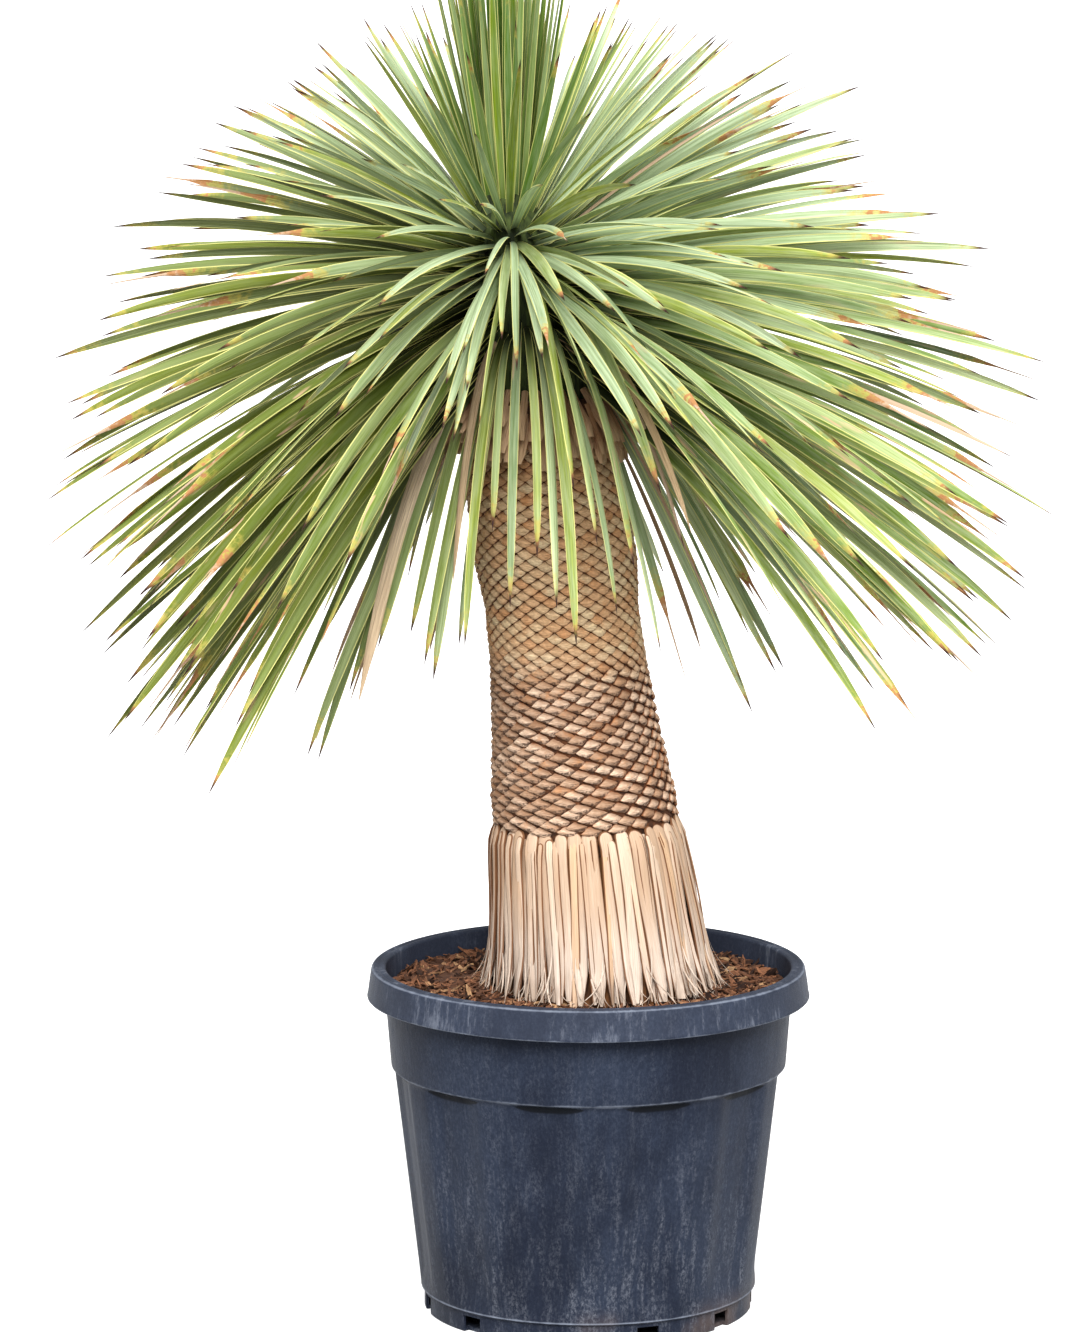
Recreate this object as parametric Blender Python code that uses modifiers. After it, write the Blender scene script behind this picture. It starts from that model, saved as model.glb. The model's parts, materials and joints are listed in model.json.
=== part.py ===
"""Potted beaked yucca: a fluted nursery pot filled with bark mix, and a leaning trunk in a coat of
cut leaf bases. Straw hangs round its foot, cut leaf stubs hang under the head, and green leaves
stand out all round the top. Metres, +Z up, origin at the middle of the pot's underside."""

import math
import random
from collections import namedtuple

import bmesh
import bpy
from mathutils import Matrix, Vector

UP = Vector((0.0, 0.0, 1.0))
CLEARANCE = 0.0004

# Pot, all radii at the outside
POT_HEIGHT = 0.395
WALL = 0.0035
FLOOR = 0.004
LIP_TOP_RADIUS = 0.2454
LIP_LOW_RADIUS = 0.250
LIP_LOW_Z = 0.360
LIP_ROUNDING = 0.004
COLLAR_TOP_RADIUS = 0.2322
COLLAR_LOW_RADIUS = 0.2232
STEP_Z = 0.281
STEP_FALL = 0.007
BODY_TOP_RADIUS = 0.2198
BODY_LOW_RADIUS = 0.190
BASE_BAND_Z = 0.026
BASE_RADIUS = 0.1862
FLUTES = 11
COLUMNS_A_FLUTE = 4
FLUTE_SHARE = 0.0245
FIRST_FLUTE = math.radians(-69.2)
PLAIN_FLUTE = 10
NOTCH_SIZE = (0.022, 0.026, 0.024)
NOTCH_TOP = 0.019
NOTCH_REACH = 0.008

# Bark mix in the pot
MIX_TOP = 0.372
MIX_FLAT_RADIUS = 0.152
MIX_RINGS = 2
MIX_BUMP = 0.007
MIX_CLEARANCE = 0.0007
MIX_SEED = 11
HOLE_DEPTH = 0.080

# Plant, by height above the bark mix
PLANT_X = 0.015
LEAN_X = (-0.085, -0.045)
LEAN_Y = (-0.030, -0.060)
FOOT_RADIUS = 0.088
SHELF = 0.187
SCALE_TOP = 0.650
TRUNK_OUTLINE = (
    (SHELF, 0.1065),
    (0.219, 0.106),
    (0.296, 0.0965),
    (0.374, 0.090),
    (0.436, 0.0876),
    (0.497, 0.0934),
    (0.563, 0.0914),
    (0.612, 0.086),
    (SCALE_TOP, 0.083),
)
NECK_RADIUS = 0.074
TRUNK_TOP = 0.678
SCALES_ROUND = 16
SCALE_ROWS = 40
SCALE_RELIEF = 0.006
SCALE_HANG = 0.3
TRUNK_TWIST = -0.9

# Straw skirt round the foot
SKIRT_OUTLINE = (
    (SHELF - CLEARANCE, 0.0990),
    (0.180, 0.1070),
    (0.136, 0.1124),
    (0.073, 0.119),
    (0.032, 0.1243),
    (CLEARANCE, 0.128),
)
WRAP_GAP = 0.0007
STRAPS = 36
STRAP_GROOVE = 0.006
STRAP_ARCH = 0.007
STRAP_SEED = 5

# Ring of old leaf bases under the head
RING_BOTTOM = 0.654
RING_TOP = 0.675
RING_RADIUS = 0.088
RING_TOP_RADIUS = 0.080
RING_SIDES = 24
STUBS = 34
STUB_RISES = (0.005, 0.012)
STUB_POLAR = (147, 157)
STUB_LENGTH = (0.036, 0.056)
STUB_WIDTH = (0.0125, 0.0155)
STUB_SAG = 0.12
DRY_LEAVES = 8
DRY_TURN = (110, 185)
DRY_POLAR = (146, 152)
DRY_LENGTH = (0.24, 0.32)
DRY_WIDTH = 0.012
DRY_SAG = 0.30
COLLAR_SINK = 0.005
STUB_SEED = 3

# Head of green leaves
HEAD_START = TRUNK_TOP + CLEARANCE
HEAD_RADIUS = 0.073
HEAD_HEIGHT = 0.226
HEAD_TILT = Vector((-0.14, -0.12, 1.0))
TUFT_TILT = Vector((-0.03, -0.11, 1.0))
HEAD_TAPER = 0.92
HEAD_SIDES = 20
HEAD_ROWS = 7
LEAVES = 320
TUFT = 22
TUFT_RADIUS = 0.026
TUFT_POLAR = 10
TUFT_LENGTH = (0.280, 0.385)
TUFT_WIDTH = 0.0115
GOLDEN_ANGLE = math.radians(137.508)
FRONT = -math.pi / 2
TOP_SHARE = 0.90
SHARE_FALL = 0.73
POLAR_START = 18
POLAR_FALL = 107
POLAR_DRAW = 3
FRONT_RISE = 30
FRONT_DROOP = math.radians(50)
FRONT_AGE = 0.2
LEFT_DROOP = math.radians(30)
RIGHT_DROOP = math.radians(-4)
YOUNG_LENGTH = 0.270
LENGTH_GAIN = 0.270
GROWN_AGE = 0.62
LENGTH_DRAW = (0.88, 1.06)
LEFT_SHORTER = 0.06
LEAF_WIDTH = 0.0150
YOUNG_WIDTH = 0.74
WIDE_AGE = 0.4
LEAF_ROLL = (0.35, 1.25)
LEAF_THICKNESS = 0.0024
ROOT_SINK = 0.018
LEAF_SEED = 7
TRUNK_ROOM = 0.118
TRUNK_ROOM_TOP = 0.690
BARE_TOP = 0.665
BARE_HALF_WIDTH = 0.135
LEAF_STATIONS = (0.30, 0.70)
LEAF_OUTLINE = ((0.0, 0.50), (0.30, 0.96), (0.70, 0.80), (1.0, 0.0))
STUB_OUTLINE = ((0.0, 0.80), (1.0, 1.0))

Blade = namedtuple("Blade", "root direction length sag side width roll spin outline")


def clear_scene():
    for thing in list(bpy.data.objects):
        bpy.data.objects.remove(thing, do_unlink=True)


def new_collection(name):
    made = bpy.data.collections.new(name)
    bpy.context.scene.collection.children.link(made)
    return made


def material(name, colour, roughness):
    made = bpy.data.materials.new(name)
    made.use_nodes = True
    shader = made.node_tree.nodes["Principled BSDF"]
    shader.inputs["Base Color"].default_value = (*colour, 1.0)
    shader.inputs["Roughness"].default_value = roughness
    shader.inputs["Metallic"].default_value = 0.0
    return made


def add_object(name, mesh, collection, finish=None):
    made = bpy.data.objects.new(name, mesh)
    collection.objects.link(made)
    if finish:
        mesh.materials.append(finish)
    return made


def make_helper(thing, collection):
    """Moves a cutter to its collection, and keeps it out of the render."""
    for other in list(thing.users_collection):
        other.objects.unlink(thing)
    collection.objects.link(thing)
    thing.hide_render = True
    thing.display_type = "WIRE"


def apply_modifiers(thing):
    graph = bpy.context.evaluated_depsgraph_get()
    mesh = bpy.data.meshes.new_from_object(thing.evaluated_get(graph))
    thing.modifiers.clear()
    thing.data = mesh


def fuse(core, pieces):
    """Joins every object of a collection to the core, and removes them."""
    join = core.modifiers.new("grown together", "BOOLEAN")
    join.operation = "UNION"
    join.operand_type = "COLLECTION"
    join.collection = pieces
    join.solver = "MANIFOLD"
    apply_modifiers(core)
    for piece in list(pieces.objects):
        bpy.data.objects.remove(piece, do_unlink=True)
    bpy.data.collections.remove(pieces)


def cut(thing, cutters, name):
    """Takes the shapes of a collection out of the object."""
    trim = thing.modifiers.new(name, "BOOLEAN")
    trim.operation = "DIFFERENCE"
    trim.operand_type = "COLLECTION"
    trim.collection = cutters


def smooth_step(value):
    value = min(1.0, max(0.0, value))
    return value * value * (3 - 2 * value)


def read_outline(outline, place):
    """Value of a hand-drawn outline of (place, value) points, straight between them."""
    for (start, low), (end, high) in zip(outline, outline[1:]):
        if place <= end:
            return low + (high - low) * (place - start) / (end - start)
    return outline[-1][1]


def rolled_grid(name, columns, rows, place, is_low=None, closed_profile=False):
    """A grid rolled into a tube, with place(column, row) for each point. is_low says which points
    each square is split between. The ends are capped, unless the last row lies on the first."""
    shape = bmesh.new()
    bmesh.ops.create_grid(shape, x_segments=columns, y_segments=rows - 1, size=0.5)
    low = []
    for vertex in shape.verts:
        column = round((vertex.co.x + 0.5) * columns) % columns
        row = round((vertex.co.y + 0.5) * (rows - 1))
        vertex.co = place(column, row)
        if is_low and is_low(column, row):
            low.append(vertex)
    if low:
        bmesh.ops.connect_verts(shape, verts=low)
    bmesh.ops.remove_doubles(shape, verts=shape.verts, dist=1e-6)
    if not closed_profile:
        bmesh.ops.holes_fill(shape, edges=[e for e in shape.edges if e.is_boundary])
    bmesh.ops.recalc_face_normals(shape, faces=shape.faces)
    mesh = bpy.data.meshes.new(name)
    shape.to_mesh(mesh)
    shape.free()
    return mesh


# Pot and bark mix


def body_radius(z):
    """Outer radius of the pot's wall on its ribs, below the rim."""
    if z >= STEP_Z:
        share = (z - STEP_Z) / (POT_HEIGHT - STEP_Z)
        return COLLAR_LOW_RADIUS + (COLLAR_TOP_RADIUS - COLLAR_LOW_RADIUS) * share
    share = (z - BASE_BAND_Z) / (STEP_Z - STEP_FALL - BASE_BAND_Z)
    return BODY_LOW_RADIUS + (BODY_TOP_RADIUS - BODY_LOW_RADIUS) * share


def flute_share(angle, z):
    """Share of its radius by which a flute sets the wall back, at this angle and height."""
    if not BASE_BAND_Z - 1e-5 < z < STEP_Z - STEP_FALL + 1e-5:
        return 0.0
    turns = (angle - FIRST_FLUTE) / math.tau * FLUTES
    off_middle = abs((turns + 0.5) % 1.0 - 0.5)
    return FLUTE_SHARE * smooth_step(1.5 - 4 * off_middle)


def wall_points(inset, top):
    """The wall's profile from the given top down to the base band, this far inside its outer face."""
    body_top = STEP_Z - STEP_FALL
    return [
        (body_radius(top) - inset, top),
        (body_radius(STEP_Z) - inset, STEP_Z),
        (body_radius(body_top) - inset, body_top),
        (body_radius(BASE_BAND_Z) - inset, BASE_BAND_Z),
        (BASE_RADIUS - inset, BASE_BAND_Z - 0.0005),
    ]


def turned(name, profile, collection, finish):
    """A profile turned about the pot's axis, with its columns in step with the flutes."""
    mesh = bpy.data.meshes.new(name)
    points = [(radius, 0.0, z) for radius, z in profile]
    mesh.from_pydata(points, [(i, i + 1) for i in range(len(points) - 1)], [])
    mesh.transform(Matrix.Rotation(FIRST_FLUTE + math.pi / FLUTES / COLUMNS_A_FLUTE, 4, "Z"))
    thing = add_object(name, mesh, collection, finish)
    turn = thing.modifiers.new("turned", "SCREW")
    turn.steps = turn.render_steps = FLUTES * COLUMNS_A_FLUTE
    turn.use_merge_vertices = True
    turn.merge_threshold = 0.0001
    apply_modifiers(thing)
    return thing


def press_flutes(mesh):
    for vertex in mesh.vertices:
        share = flute_share(math.atan2(vertex.co.y, vertex.co.x), vertex.co.z)
        vertex.co.xy *= 1 - share


def make_pot(collection, cutters, finish):
    inner_top, *inner_wall = wall_points(WALL, POT_HEIGHT - LIP_ROUNDING)
    lip_under = POT_HEIGHT - LIP_ROUNDING - 0.002
    profile = [
        (0.0, FLOOR),
        (BASE_RADIUS - WALL, FLOOR),
        *reversed(inner_wall),
        inner_top,
        (inner_top[0] + LIP_ROUNDING, POT_HEIGHT),
        (LIP_TOP_RADIUS - LIP_ROUNDING, POT_HEIGHT),
        (LIP_TOP_RADIUS, POT_HEIGHT - LIP_ROUNDING),
        (LIP_LOW_RADIUS, LIP_LOW_Z),
        (LIP_LOW_RADIUS - WALL, LIP_LOW_Z),
        (LIP_TOP_RADIUS - WALL, lip_under),
        *wall_points(0.0, lip_under),
        (BASE_RADIUS, 0.0),
        (0.0, 0.0),
    ]
    pot = turned("pot", profile, collection, finish)
    press_flutes(pot.data)
    for k in range(FLUTES):
        if k != PLAIN_FLUTE:
            add_drain_notch(FIRST_FLUTE + k * math.tau / FLUTES, cutters)
    cut(pot, cutters, "drain notches")
    pot.data.shade_smooth()
    pot.data.set_sharp_from_angle(angle=math.radians(30))


def add_drain_notch(angle, cutters):
    """A block that opens the foot of the wall and the floor's edge."""
    bpy.ops.mesh.primitive_cube_add(size=1)
    block = bpy.context.object
    block.name = "drain notch"
    block.scale = NOTCH_SIZE
    block.rotation_euler.z = angle
    middle = BASE_RADIUS - NOTCH_REACH + NOTCH_SIZE[0] / 2
    block.location.x = middle * math.cos(angle)
    block.location.y = middle * math.sin(angle)
    block.location.z = NOTCH_TOP - NOTCH_SIZE[2] / 2
    make_helper(block, cutters)


def make_bark_mix(collection, cutters, finish):
    """The mix fills the pot in to its flutes, flat where the plant stands and rough outside."""
    edge_top, step, body_top, body_low, _ = wall_points(WALL, MIX_TOP - 0.002)
    in_flutes = [(radius * (1 - FLUTE_SHARE), z) for radius, z in (body_top, body_low)]
    wall = [edge_top, step, *in_flutes, (in_flutes[-1][0], FLOOR + CLEARANCE)]
    wall = [(radius - MIX_CLEARANCE, z) for radius, z in wall]
    ring_step = (wall[0][0] - MIX_FLAT_RADIUS) / MIX_RINGS
    rings = [(MIX_FLAT_RADIUS + k * ring_step, MIX_TOP) for k in range(MIX_RINGS)]
    profile = [(0.0, MIX_TOP), *rings, *wall, (0.0, FLOOR + CLEARANCE)]
    mix = turned("bark_mix", profile, collection, finish)
    draw = random.Random(MIX_SEED)
    for vertex in mix.data.vertices:
        if vertex.co.z > MIX_TOP - 0.001 and vertex.co.xy.length > MIX_FLAT_RADIUS + 0.001:
            vertex.co.z += MIX_BUMP * draw.uniform(-0.7, 1.0)
    bpy.ops.mesh.primitive_cylinder_add(
        vertices=2 * SCALES_ROUND,
        radius=FOOT_RADIUS + CLEARANCE,
        depth=2 * HOLE_DEPTH,
        location=(PLANT_X, 0.0, MIX_TOP),
    )
    hole = bpy.context.object
    hole.name = "trunk hole"
    make_helper(hole, cutters)
    cut(mix, cutters, "hole for the trunk")


# Trunk, skirt and ring


def plant_axis(height):
    """Middle of the plant at a height above the mix, straight down below it."""
    rise = max(0.0, height)
    x = PLANT_X + LEAN_X[0] * rise + LEAN_X[1] * rise**2
    y = LEAN_Y[0] * rise + LEAN_Y[1] * rise**2
    return Vector((x, y, MIX_TOP + height))


def round_plant(height, radius, angle):
    return plant_axis(height) + radius * Vector((math.cos(angle), math.sin(angle), 0.0))


def make_trunk(collection, finish):
    """Diamond leaf bases in relief: every other point of the grid is a peak, hung a little low."""
    row_step = (SCALE_TOP - SHELF) / (SCALE_ROWS - 1)
    foot = [CLEARANCE - HOLE_DEPTH, 0.0, SHELF]
    first_scale = len(foot)
    last_scale = first_scale + SCALE_ROWS - 1
    columns = 2 * SCALES_ROUND

    def is_low(column, row):
        return first_scale < row < last_scale and (column + row) % 2 == 1

    def place(column, row):
        angle = math.tau * column / columns
        if row < first_scale:
            return round_plant(foot[row], FOOT_RADIUS, angle)
        if row > last_scale:
            height = (SCALE_TOP, TRUNK_TOP)[row - last_scale - 1]
            return round_plant(height, NECK_RADIUS, angle)
        height = SHELF + (row - first_scale) * row_step
        radius = read_outline(TRUNK_OUTLINE, height)
        angle += TRUNK_TWIST * (height - SHELF)
        if is_low(column, row):
            radius -= SCALE_RELIEF
        elif first_scale < row < last_scale:
            height -= SCALE_HANG * row_step
        return round_plant(height, radius, angle)

    rows = last_scale + 3
    mesh = rolled_grid("trunk", columns, rows, place, is_low)
    add_object("trunk", mesh, collection, finish)


def make_skirt(collection, finish):
    """Dry straps side by side round the trunk's foot, arched at the top and splayed at the bottom."""
    draw = random.Random(STRAP_SEED)
    straps = [(draw.uniform(-0.002, 0.003), draw.uniform(-0.004, 0.006)) for _ in range(STRAPS)]
    inner = FOOT_RADIUS + WRAP_GAP
    profile = [(SKIRT_OUTLINE[0][0], inner), *SKIRT_OUTLINE, (CLEARANCE, inner)]
    profile.append(profile[0])
    top_row, bottom_row = 1, len(SKIRT_OUTLINE)

    def place(column, row):
        strap, part = divmod(column, 3)
        angle = math.tau * (strap + (0.0, 0.28, 0.72)[part]) / STRAPS
        height, radius = profile[row]
        stand, splay = straps[strap]
        if top_row < row <= bottom_row:
            radius += stand if row < bottom_row else splay
            radius -= STRAP_GROOVE if part == 0 else 0.0
        if row == top_row + 1 and part == 0:
            height -= STRAP_ARCH
        return round_plant(height, radius, angle)

    mesh = rolled_grid("dead_leaf_skirt", 3 * STRAPS, len(profile), place, closed_profile=True)
    add_object("dead_leaf_skirt", mesh, collection, finish)


def blade_point(blade, along):
    """Middle of a blade's flat face: a straight start that its own weight bends down."""
    return blade.root + blade.length * (along * blade.direction - blade.sag * along**2 * UP)


def make_unit_blade(stations):
    """A three-sided bar one unit long, cut at the stations, that blades are bent from."""
    shape = bmesh.new()
    bmesh.ops.create_cone(shape, cap_ends=True, segments=3, radius1=1.0, radius2=1.0, depth=1.0)
    for station in stations:
        everything = [*shape.verts, *shape.edges, *shape.faces]
        level = (0.0, 0.0, station - 0.5)
        bmesh.ops.bisect_plane(shape, geom=everything, plane_co=level, plane_no=UP)
    bmesh.ops.triangulate(shape, faces=shape.faces)
    mesh = bpy.data.meshes.new("unit blade")
    shape.to_mesh(mesh)
    shape.free()
    return mesh


def add_blade(blade, bar, collection):
    """Bends the unit bar along the blade's path, flat face up and keel down, and narrows its ends."""
    shape = bmesh.new()
    shape.from_mesh(bar)
    for vertex in shape.verts:
        along = vertex.co.z + 0.5
        across = -vertex.co.x / math.sqrt(3)
        keel = (vertex.co.y + 0.5) / 1.5
        tangent = (blade.direction - 2 * blade.sag * along * UP).normalized()
        side = (blade.side - blade.side.dot(tangent) * tangent).normalized()
        turn = blade.roll + blade.spin * along
        side = side * math.cos(turn) + side.cross(tangent) * math.sin(turn)
        face = side.cross(tangent)
        share = read_outline(blade.outline, along)
        offset = across * blade.width * side - keel * LEAF_THICKNESS * face
        vertex.co = blade_point(blade, along) + share * offset
    bmesh.ops.remove_doubles(shape, verts=shape.verts, dist=1e-6)
    bmesh.ops.recalc_face_normals(shape, faces=shape.faces)
    mesh = bpy.data.meshes.new("blade")
    shape.to_mesh(mesh)
    shape.free()
    add_object("blade", mesh, collection)


def level_side(azimuth):
    return Vector((-math.sin(azimuth), math.cos(azimuth), 0.0))


def aim(azimuth, polar):
    """Direction at this angle round the plant, and this far down from straight up."""
    level = math.sin(polar)
    return Vector((level * math.cos(azimuth), level * math.sin(azimuth), math.cos(polar)))


def stub(k):
    """One cut leaf base, hanging flat against the top of the trunk."""
    draw = random.Random(1000 * STUB_SEED + k)
    azimuth = math.tau * (k + draw.uniform(-0.25, 0.25)) / STUBS
    return Blade(
        root=round_plant(RING_BOTTOM + STUB_RISES[k % 2], RING_RADIUS - COLLAR_SINK, azimuth),
        direction=aim(azimuth, math.radians(draw.uniform(*STUB_POLAR))),
        length=draw.uniform(*STUB_LENGTH),
        sag=STUB_SAG,
        side=level_side(azimuth),
        width=draw.uniform(*STUB_WIDTH),
        roll=draw.uniform(-0.2, 0.2),
        spin=draw.uniform(-0.3, 0.3),
        outline=STUB_OUTLINE,
    )


def dry_leaf(k):
    """One whole dry leaf left hanging from the ring, at the sides and back of the trunk."""
    draw = random.Random(2000 * STUB_SEED + k)
    azimuth = FRONT + math.radians(DRY_TURN[0] + DRY_TURN[1] * (k + 0.5) / DRY_LEAVES)
    return Blade(
        root=round_plant(RING_BOTTOM + STUB_RISES[0], RING_RADIUS - COLLAR_SINK, azimuth),
        direction=aim(azimuth, math.radians(draw.uniform(*DRY_POLAR))),
        length=draw.uniform(*DRY_LENGTH),
        sag=DRY_SAG,
        side=level_side(azimuth),
        width=DRY_WIDTH,
        roll=draw.uniform(-0.4, 0.4),
        spin=draw.uniform(-0.6, 0.6),
        outline=LEAF_OUTLINE,
    )


def make_collar(collection, leaf_bar, finish):
    """A ring round the trunk's neck with what is left of the old leaves fused to it."""
    inner = NECK_RADIUS + WRAP_GAP
    section = [
        (RING_BOTTOM, inner),
        (RING_BOTTOM, RING_RADIUS),
        ((RING_BOTTOM + RING_TOP) / 2, RING_RADIUS),
        (RING_TOP, RING_TOP_RADIUS),
        (RING_TOP, inner),
        (RING_BOTTOM, inner),
    ]

    def place(column, row):
        height, radius = section[row]
        return round_plant(height, radius, math.tau * column / RING_SIDES)

    mesh = rolled_grid("cut_leaf_collar", RING_SIDES, len(section), place, closed_profile=True)
    collar = add_object("cut_leaf_collar", mesh, collection, finish)
    pieces = new_collection("stubs and dry leaves")
    stub_bar = make_unit_blade(())
    for k in range(STUBS):
        add_blade(stub(k), stub_bar, pieces)
    for k in range(DRY_LEAVES):
        add_blade(dry_leaf(k), leaf_bar, pieces)
    fuse(collar, pieces)


# Head of green leaves


def head_radius(share):
    """Radius of the leafy stem at this share of its height."""
    return HEAD_RADIUS * math.sqrt(1 - (HEAD_TAPER * share) ** 2)


def head_axis(share):
    return plant_axis(HEAD_START) + share * HEAD_HEIGHT * HEAD_TILT


def tuft_leaf(i, draw):
    """One of the young leaves that stand up in the middle, spread like seeds in a flower."""
    azimuth = i * GOLDEN_ANGLE
    spread = math.sqrt((i + 0.5) / TUFT)
    lean = UP.rotation_difference(TUFT_TILT)
    out = Vector((math.cos(azimuth), math.sin(azimuth), 0.0))
    return Blade(
        root=head_axis(TOP_SHARE) + TUFT_RADIUS * spread * out,
        direction=lean @ aim(azimuth, math.radians(TUFT_POLAR * spread + draw.uniform(-1, 1))),
        length=draw.uniform(*TUFT_LENGTH),
        sag=0.01,
        side=level_side(azimuth),
        width=TUFT_WIDTH,
        roll=draw.uniform(-0.2, 0.2),
        spin=draw.uniform(-0.5, 0.5),
        outline=LEAF_OUTLINE,
    )


def open_leaf(i, draw):
    """One leaf of the open head: the older it is, the lower, the longer and the further over."""
    azimuth = i * GOLDEN_ANGLE + draw.uniform(-0.10, 0.10)
    age = (i - TUFT + 0.5) / (LEAVES - TUFT)
    front = max(0.0, math.cos(azimuth - FRONT)) ** 3
    to_right = math.cos(azimuth)
    bend_over = POLAR_START + POLAR_FALL * age**0.85 - FRONT_RISE * front * age**2
    polar = math.radians(bend_over + draw.uniform(-POLAR_DRAW, POLAR_DRAW))
    polar += FRONT_DROOP * front * min(1.0, age / FRONT_AGE) * (1 - age) ** 0.7
    polar += (RIGHT_DROOP if to_right > 0 else LEFT_DROOP) * to_right**2 * age**1.5
    share = TOP_SHARE - SHARE_FALL * age
    out = Vector((math.cos(azimuth), math.sin(azimuth), 0.0))
    lean = UP.rotation_difference(TUFT_TILT.lerp(UP, age))
    length = (YOUNG_LENGTH + LENGTH_GAIN * min(1.0, age / GROWN_AGE)) * draw.uniform(*LENGTH_DRAW)
    leaf = Blade(
        root=head_axis(share) + (head_radius(share) - ROOT_SINK) * out,
        direction=lean @ aim(azimuth, polar),
        length=length * (1 - LEFT_SHORTER * max(0.0, -to_right)),
        sag=0.05 + 0.17 * math.sin(polar) * age**0.5 + draw.uniform(-0.02, 0.05) + 0.1 * front * age,
        side=level_side(azimuth),
        width=LEAF_WIDTH * draw.uniform(0.9, 1.1) * (YOUNG_WIDTH + (1 - YOUNG_WIDTH) * min(1.0, age / WIDE_AGE)),
        roll=draw.choice((-1, 1)) * draw.uniform(*LEAF_ROLL) * min(1.0, 0.3 + 2 * age),
        spin=draw.uniform(-0.6, 0.6),
        outline=LEAF_OUTLINE,
    )
    while crosses_trunk(leaf):
        polar -= math.radians(3)
        leaf = leaf._replace(direction=lean @ aim(azimuth, polar))
    return leaf


def crosses_trunk(leaf):
    """Whether the leaf comes down into the room that the trunk and the collar take."""
    for k in range(2, 21):
        point = blade_point(leaf, k / 20)
        height = point.z - MIX_TOP
        if height < TRUNK_ROOM_TOP and (point - plant_axis(height)).length < TRUNK_ROOM:
            return True
    return False


def hides_trunk(leaf):
    """Whether the leaf's outer half hangs before the trunk, which stands nearly bare in front."""
    for k in range(4, 11):
        point = blade_point(leaf, k / 10)
        height = point.z - MIX_TOP
        away = point - plant_axis(height)
        if height < BARE_TOP and abs(away.x) < BARE_HALF_WIDTH and away.y < 0:
            return True
    return False


def make_head(collection, leaf_bar, finish):
    def place(column, row):
        share = row / (HEAD_ROWS - 1)
        angle = math.tau * column / HEAD_SIDES
        out = Vector((math.cos(angle), math.sin(angle), 0.0))
        return head_axis(share) + head_radius(share) * out

    mesh = rolled_grid("green_leaf_head", HEAD_SIDES, HEAD_ROWS, place)
    head = add_object("green_leaf_head", mesh, collection, finish)
    leaves = new_collection("leaves")
    for i in range(LEAVES):
        draw = random.Random(1000 * LEAF_SEED + i)
        leaf = tuft_leaf(i, draw) if i < TUFT else open_leaf(i, draw)
        if not hides_trunk(leaf):
            add_blade(leaf, leaf_bar, leaves)
    fuse(head, leaves)


def main():
    clear_scene()
    plant = new_collection("potted beaked yucca")
    notches = new_collection("drain notch cutters")
    holes = new_collection("trunk hole cutter")
    make_pot(plant, notches, material("slate blue plastic", (0.045, 0.060, 0.095), 0.45))
    make_bark_mix(plant, holes, material("bark mix", (0.110, 0.055, 0.028), 0.95))
    make_trunk(plant, material("leaf bases", (0.330, 0.185, 0.085), 0.85))
    make_skirt(plant, material("straw", (0.560, 0.400, 0.220), 0.80))
    leaf_bar = make_unit_blade(LEAF_STATIONS)
    make_collar(plant, leaf_bar, material("dry leaf", (0.420, 0.250, 0.120), 0.80))
    make_head(plant, leaf_bar, material("green leaf", (0.150, 0.280, 0.160), 0.50))


main()
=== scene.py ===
# %% [markdown]
# # A potted beaked yucca
# A leaning trunk in a coat of cut leaf bases stands in a nursery pot. Straw hangs round its foot,
# cut leaf stubs hang under its head, and some hundreds of stiff narrow leaves stand out all round
# the top. Nearly all of it is one idea used many times: a thin tube of points, bent and repeated by
# a rule. The plain solids of the frame say where everything is, and this file gives each of them
# the surface that is seen.

import json
import math
import random
from collections import namedtuple

import bmesh
import bpy
import numpy as np
from mathutils import Matrix, Vector

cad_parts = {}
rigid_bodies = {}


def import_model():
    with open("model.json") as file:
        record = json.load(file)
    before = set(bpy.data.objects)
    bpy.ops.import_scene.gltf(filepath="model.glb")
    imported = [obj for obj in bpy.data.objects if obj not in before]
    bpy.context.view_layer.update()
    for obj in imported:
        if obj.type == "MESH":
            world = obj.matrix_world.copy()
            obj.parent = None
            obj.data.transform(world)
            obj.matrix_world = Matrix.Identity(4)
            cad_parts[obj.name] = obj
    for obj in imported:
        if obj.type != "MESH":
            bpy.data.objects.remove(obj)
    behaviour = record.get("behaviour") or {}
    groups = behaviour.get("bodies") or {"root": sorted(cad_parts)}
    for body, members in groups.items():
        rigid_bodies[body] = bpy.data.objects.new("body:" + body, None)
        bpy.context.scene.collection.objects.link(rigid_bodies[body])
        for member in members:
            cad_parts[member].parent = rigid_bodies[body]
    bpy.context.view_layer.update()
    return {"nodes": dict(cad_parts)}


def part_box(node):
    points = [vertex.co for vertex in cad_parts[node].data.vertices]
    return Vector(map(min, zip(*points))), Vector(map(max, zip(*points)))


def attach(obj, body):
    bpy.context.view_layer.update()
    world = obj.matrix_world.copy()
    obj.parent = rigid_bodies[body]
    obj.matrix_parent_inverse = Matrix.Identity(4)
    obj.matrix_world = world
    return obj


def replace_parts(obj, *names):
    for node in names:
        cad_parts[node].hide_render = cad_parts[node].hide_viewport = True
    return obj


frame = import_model()
UP = Vector((0.0, 0.0, 1.0))
print("solids:", ", ".join(sorted(frame["nodes"])))

# %% [markdown]
# ## Camera
# The photograph was taken from some way off with a long lens, a little above the head of the plant
# and looking down by nine and a half degrees. A long lens keeps the pot's rim a flat ellipse.

# %% Camera
CAMERA_PLACE = (-0.0514, -7.0, 1.903)
CAMERA_DOWN = math.radians(9.46)
CAMERA_LENS = 170.8
CAMERA_SENSOR = 36.0
SIGHT_END = 400.0


def link(thing):
    """Puts a thing in the scene."""
    bpy.context.scene.collection.objects.link(thing)
    return thing


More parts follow.
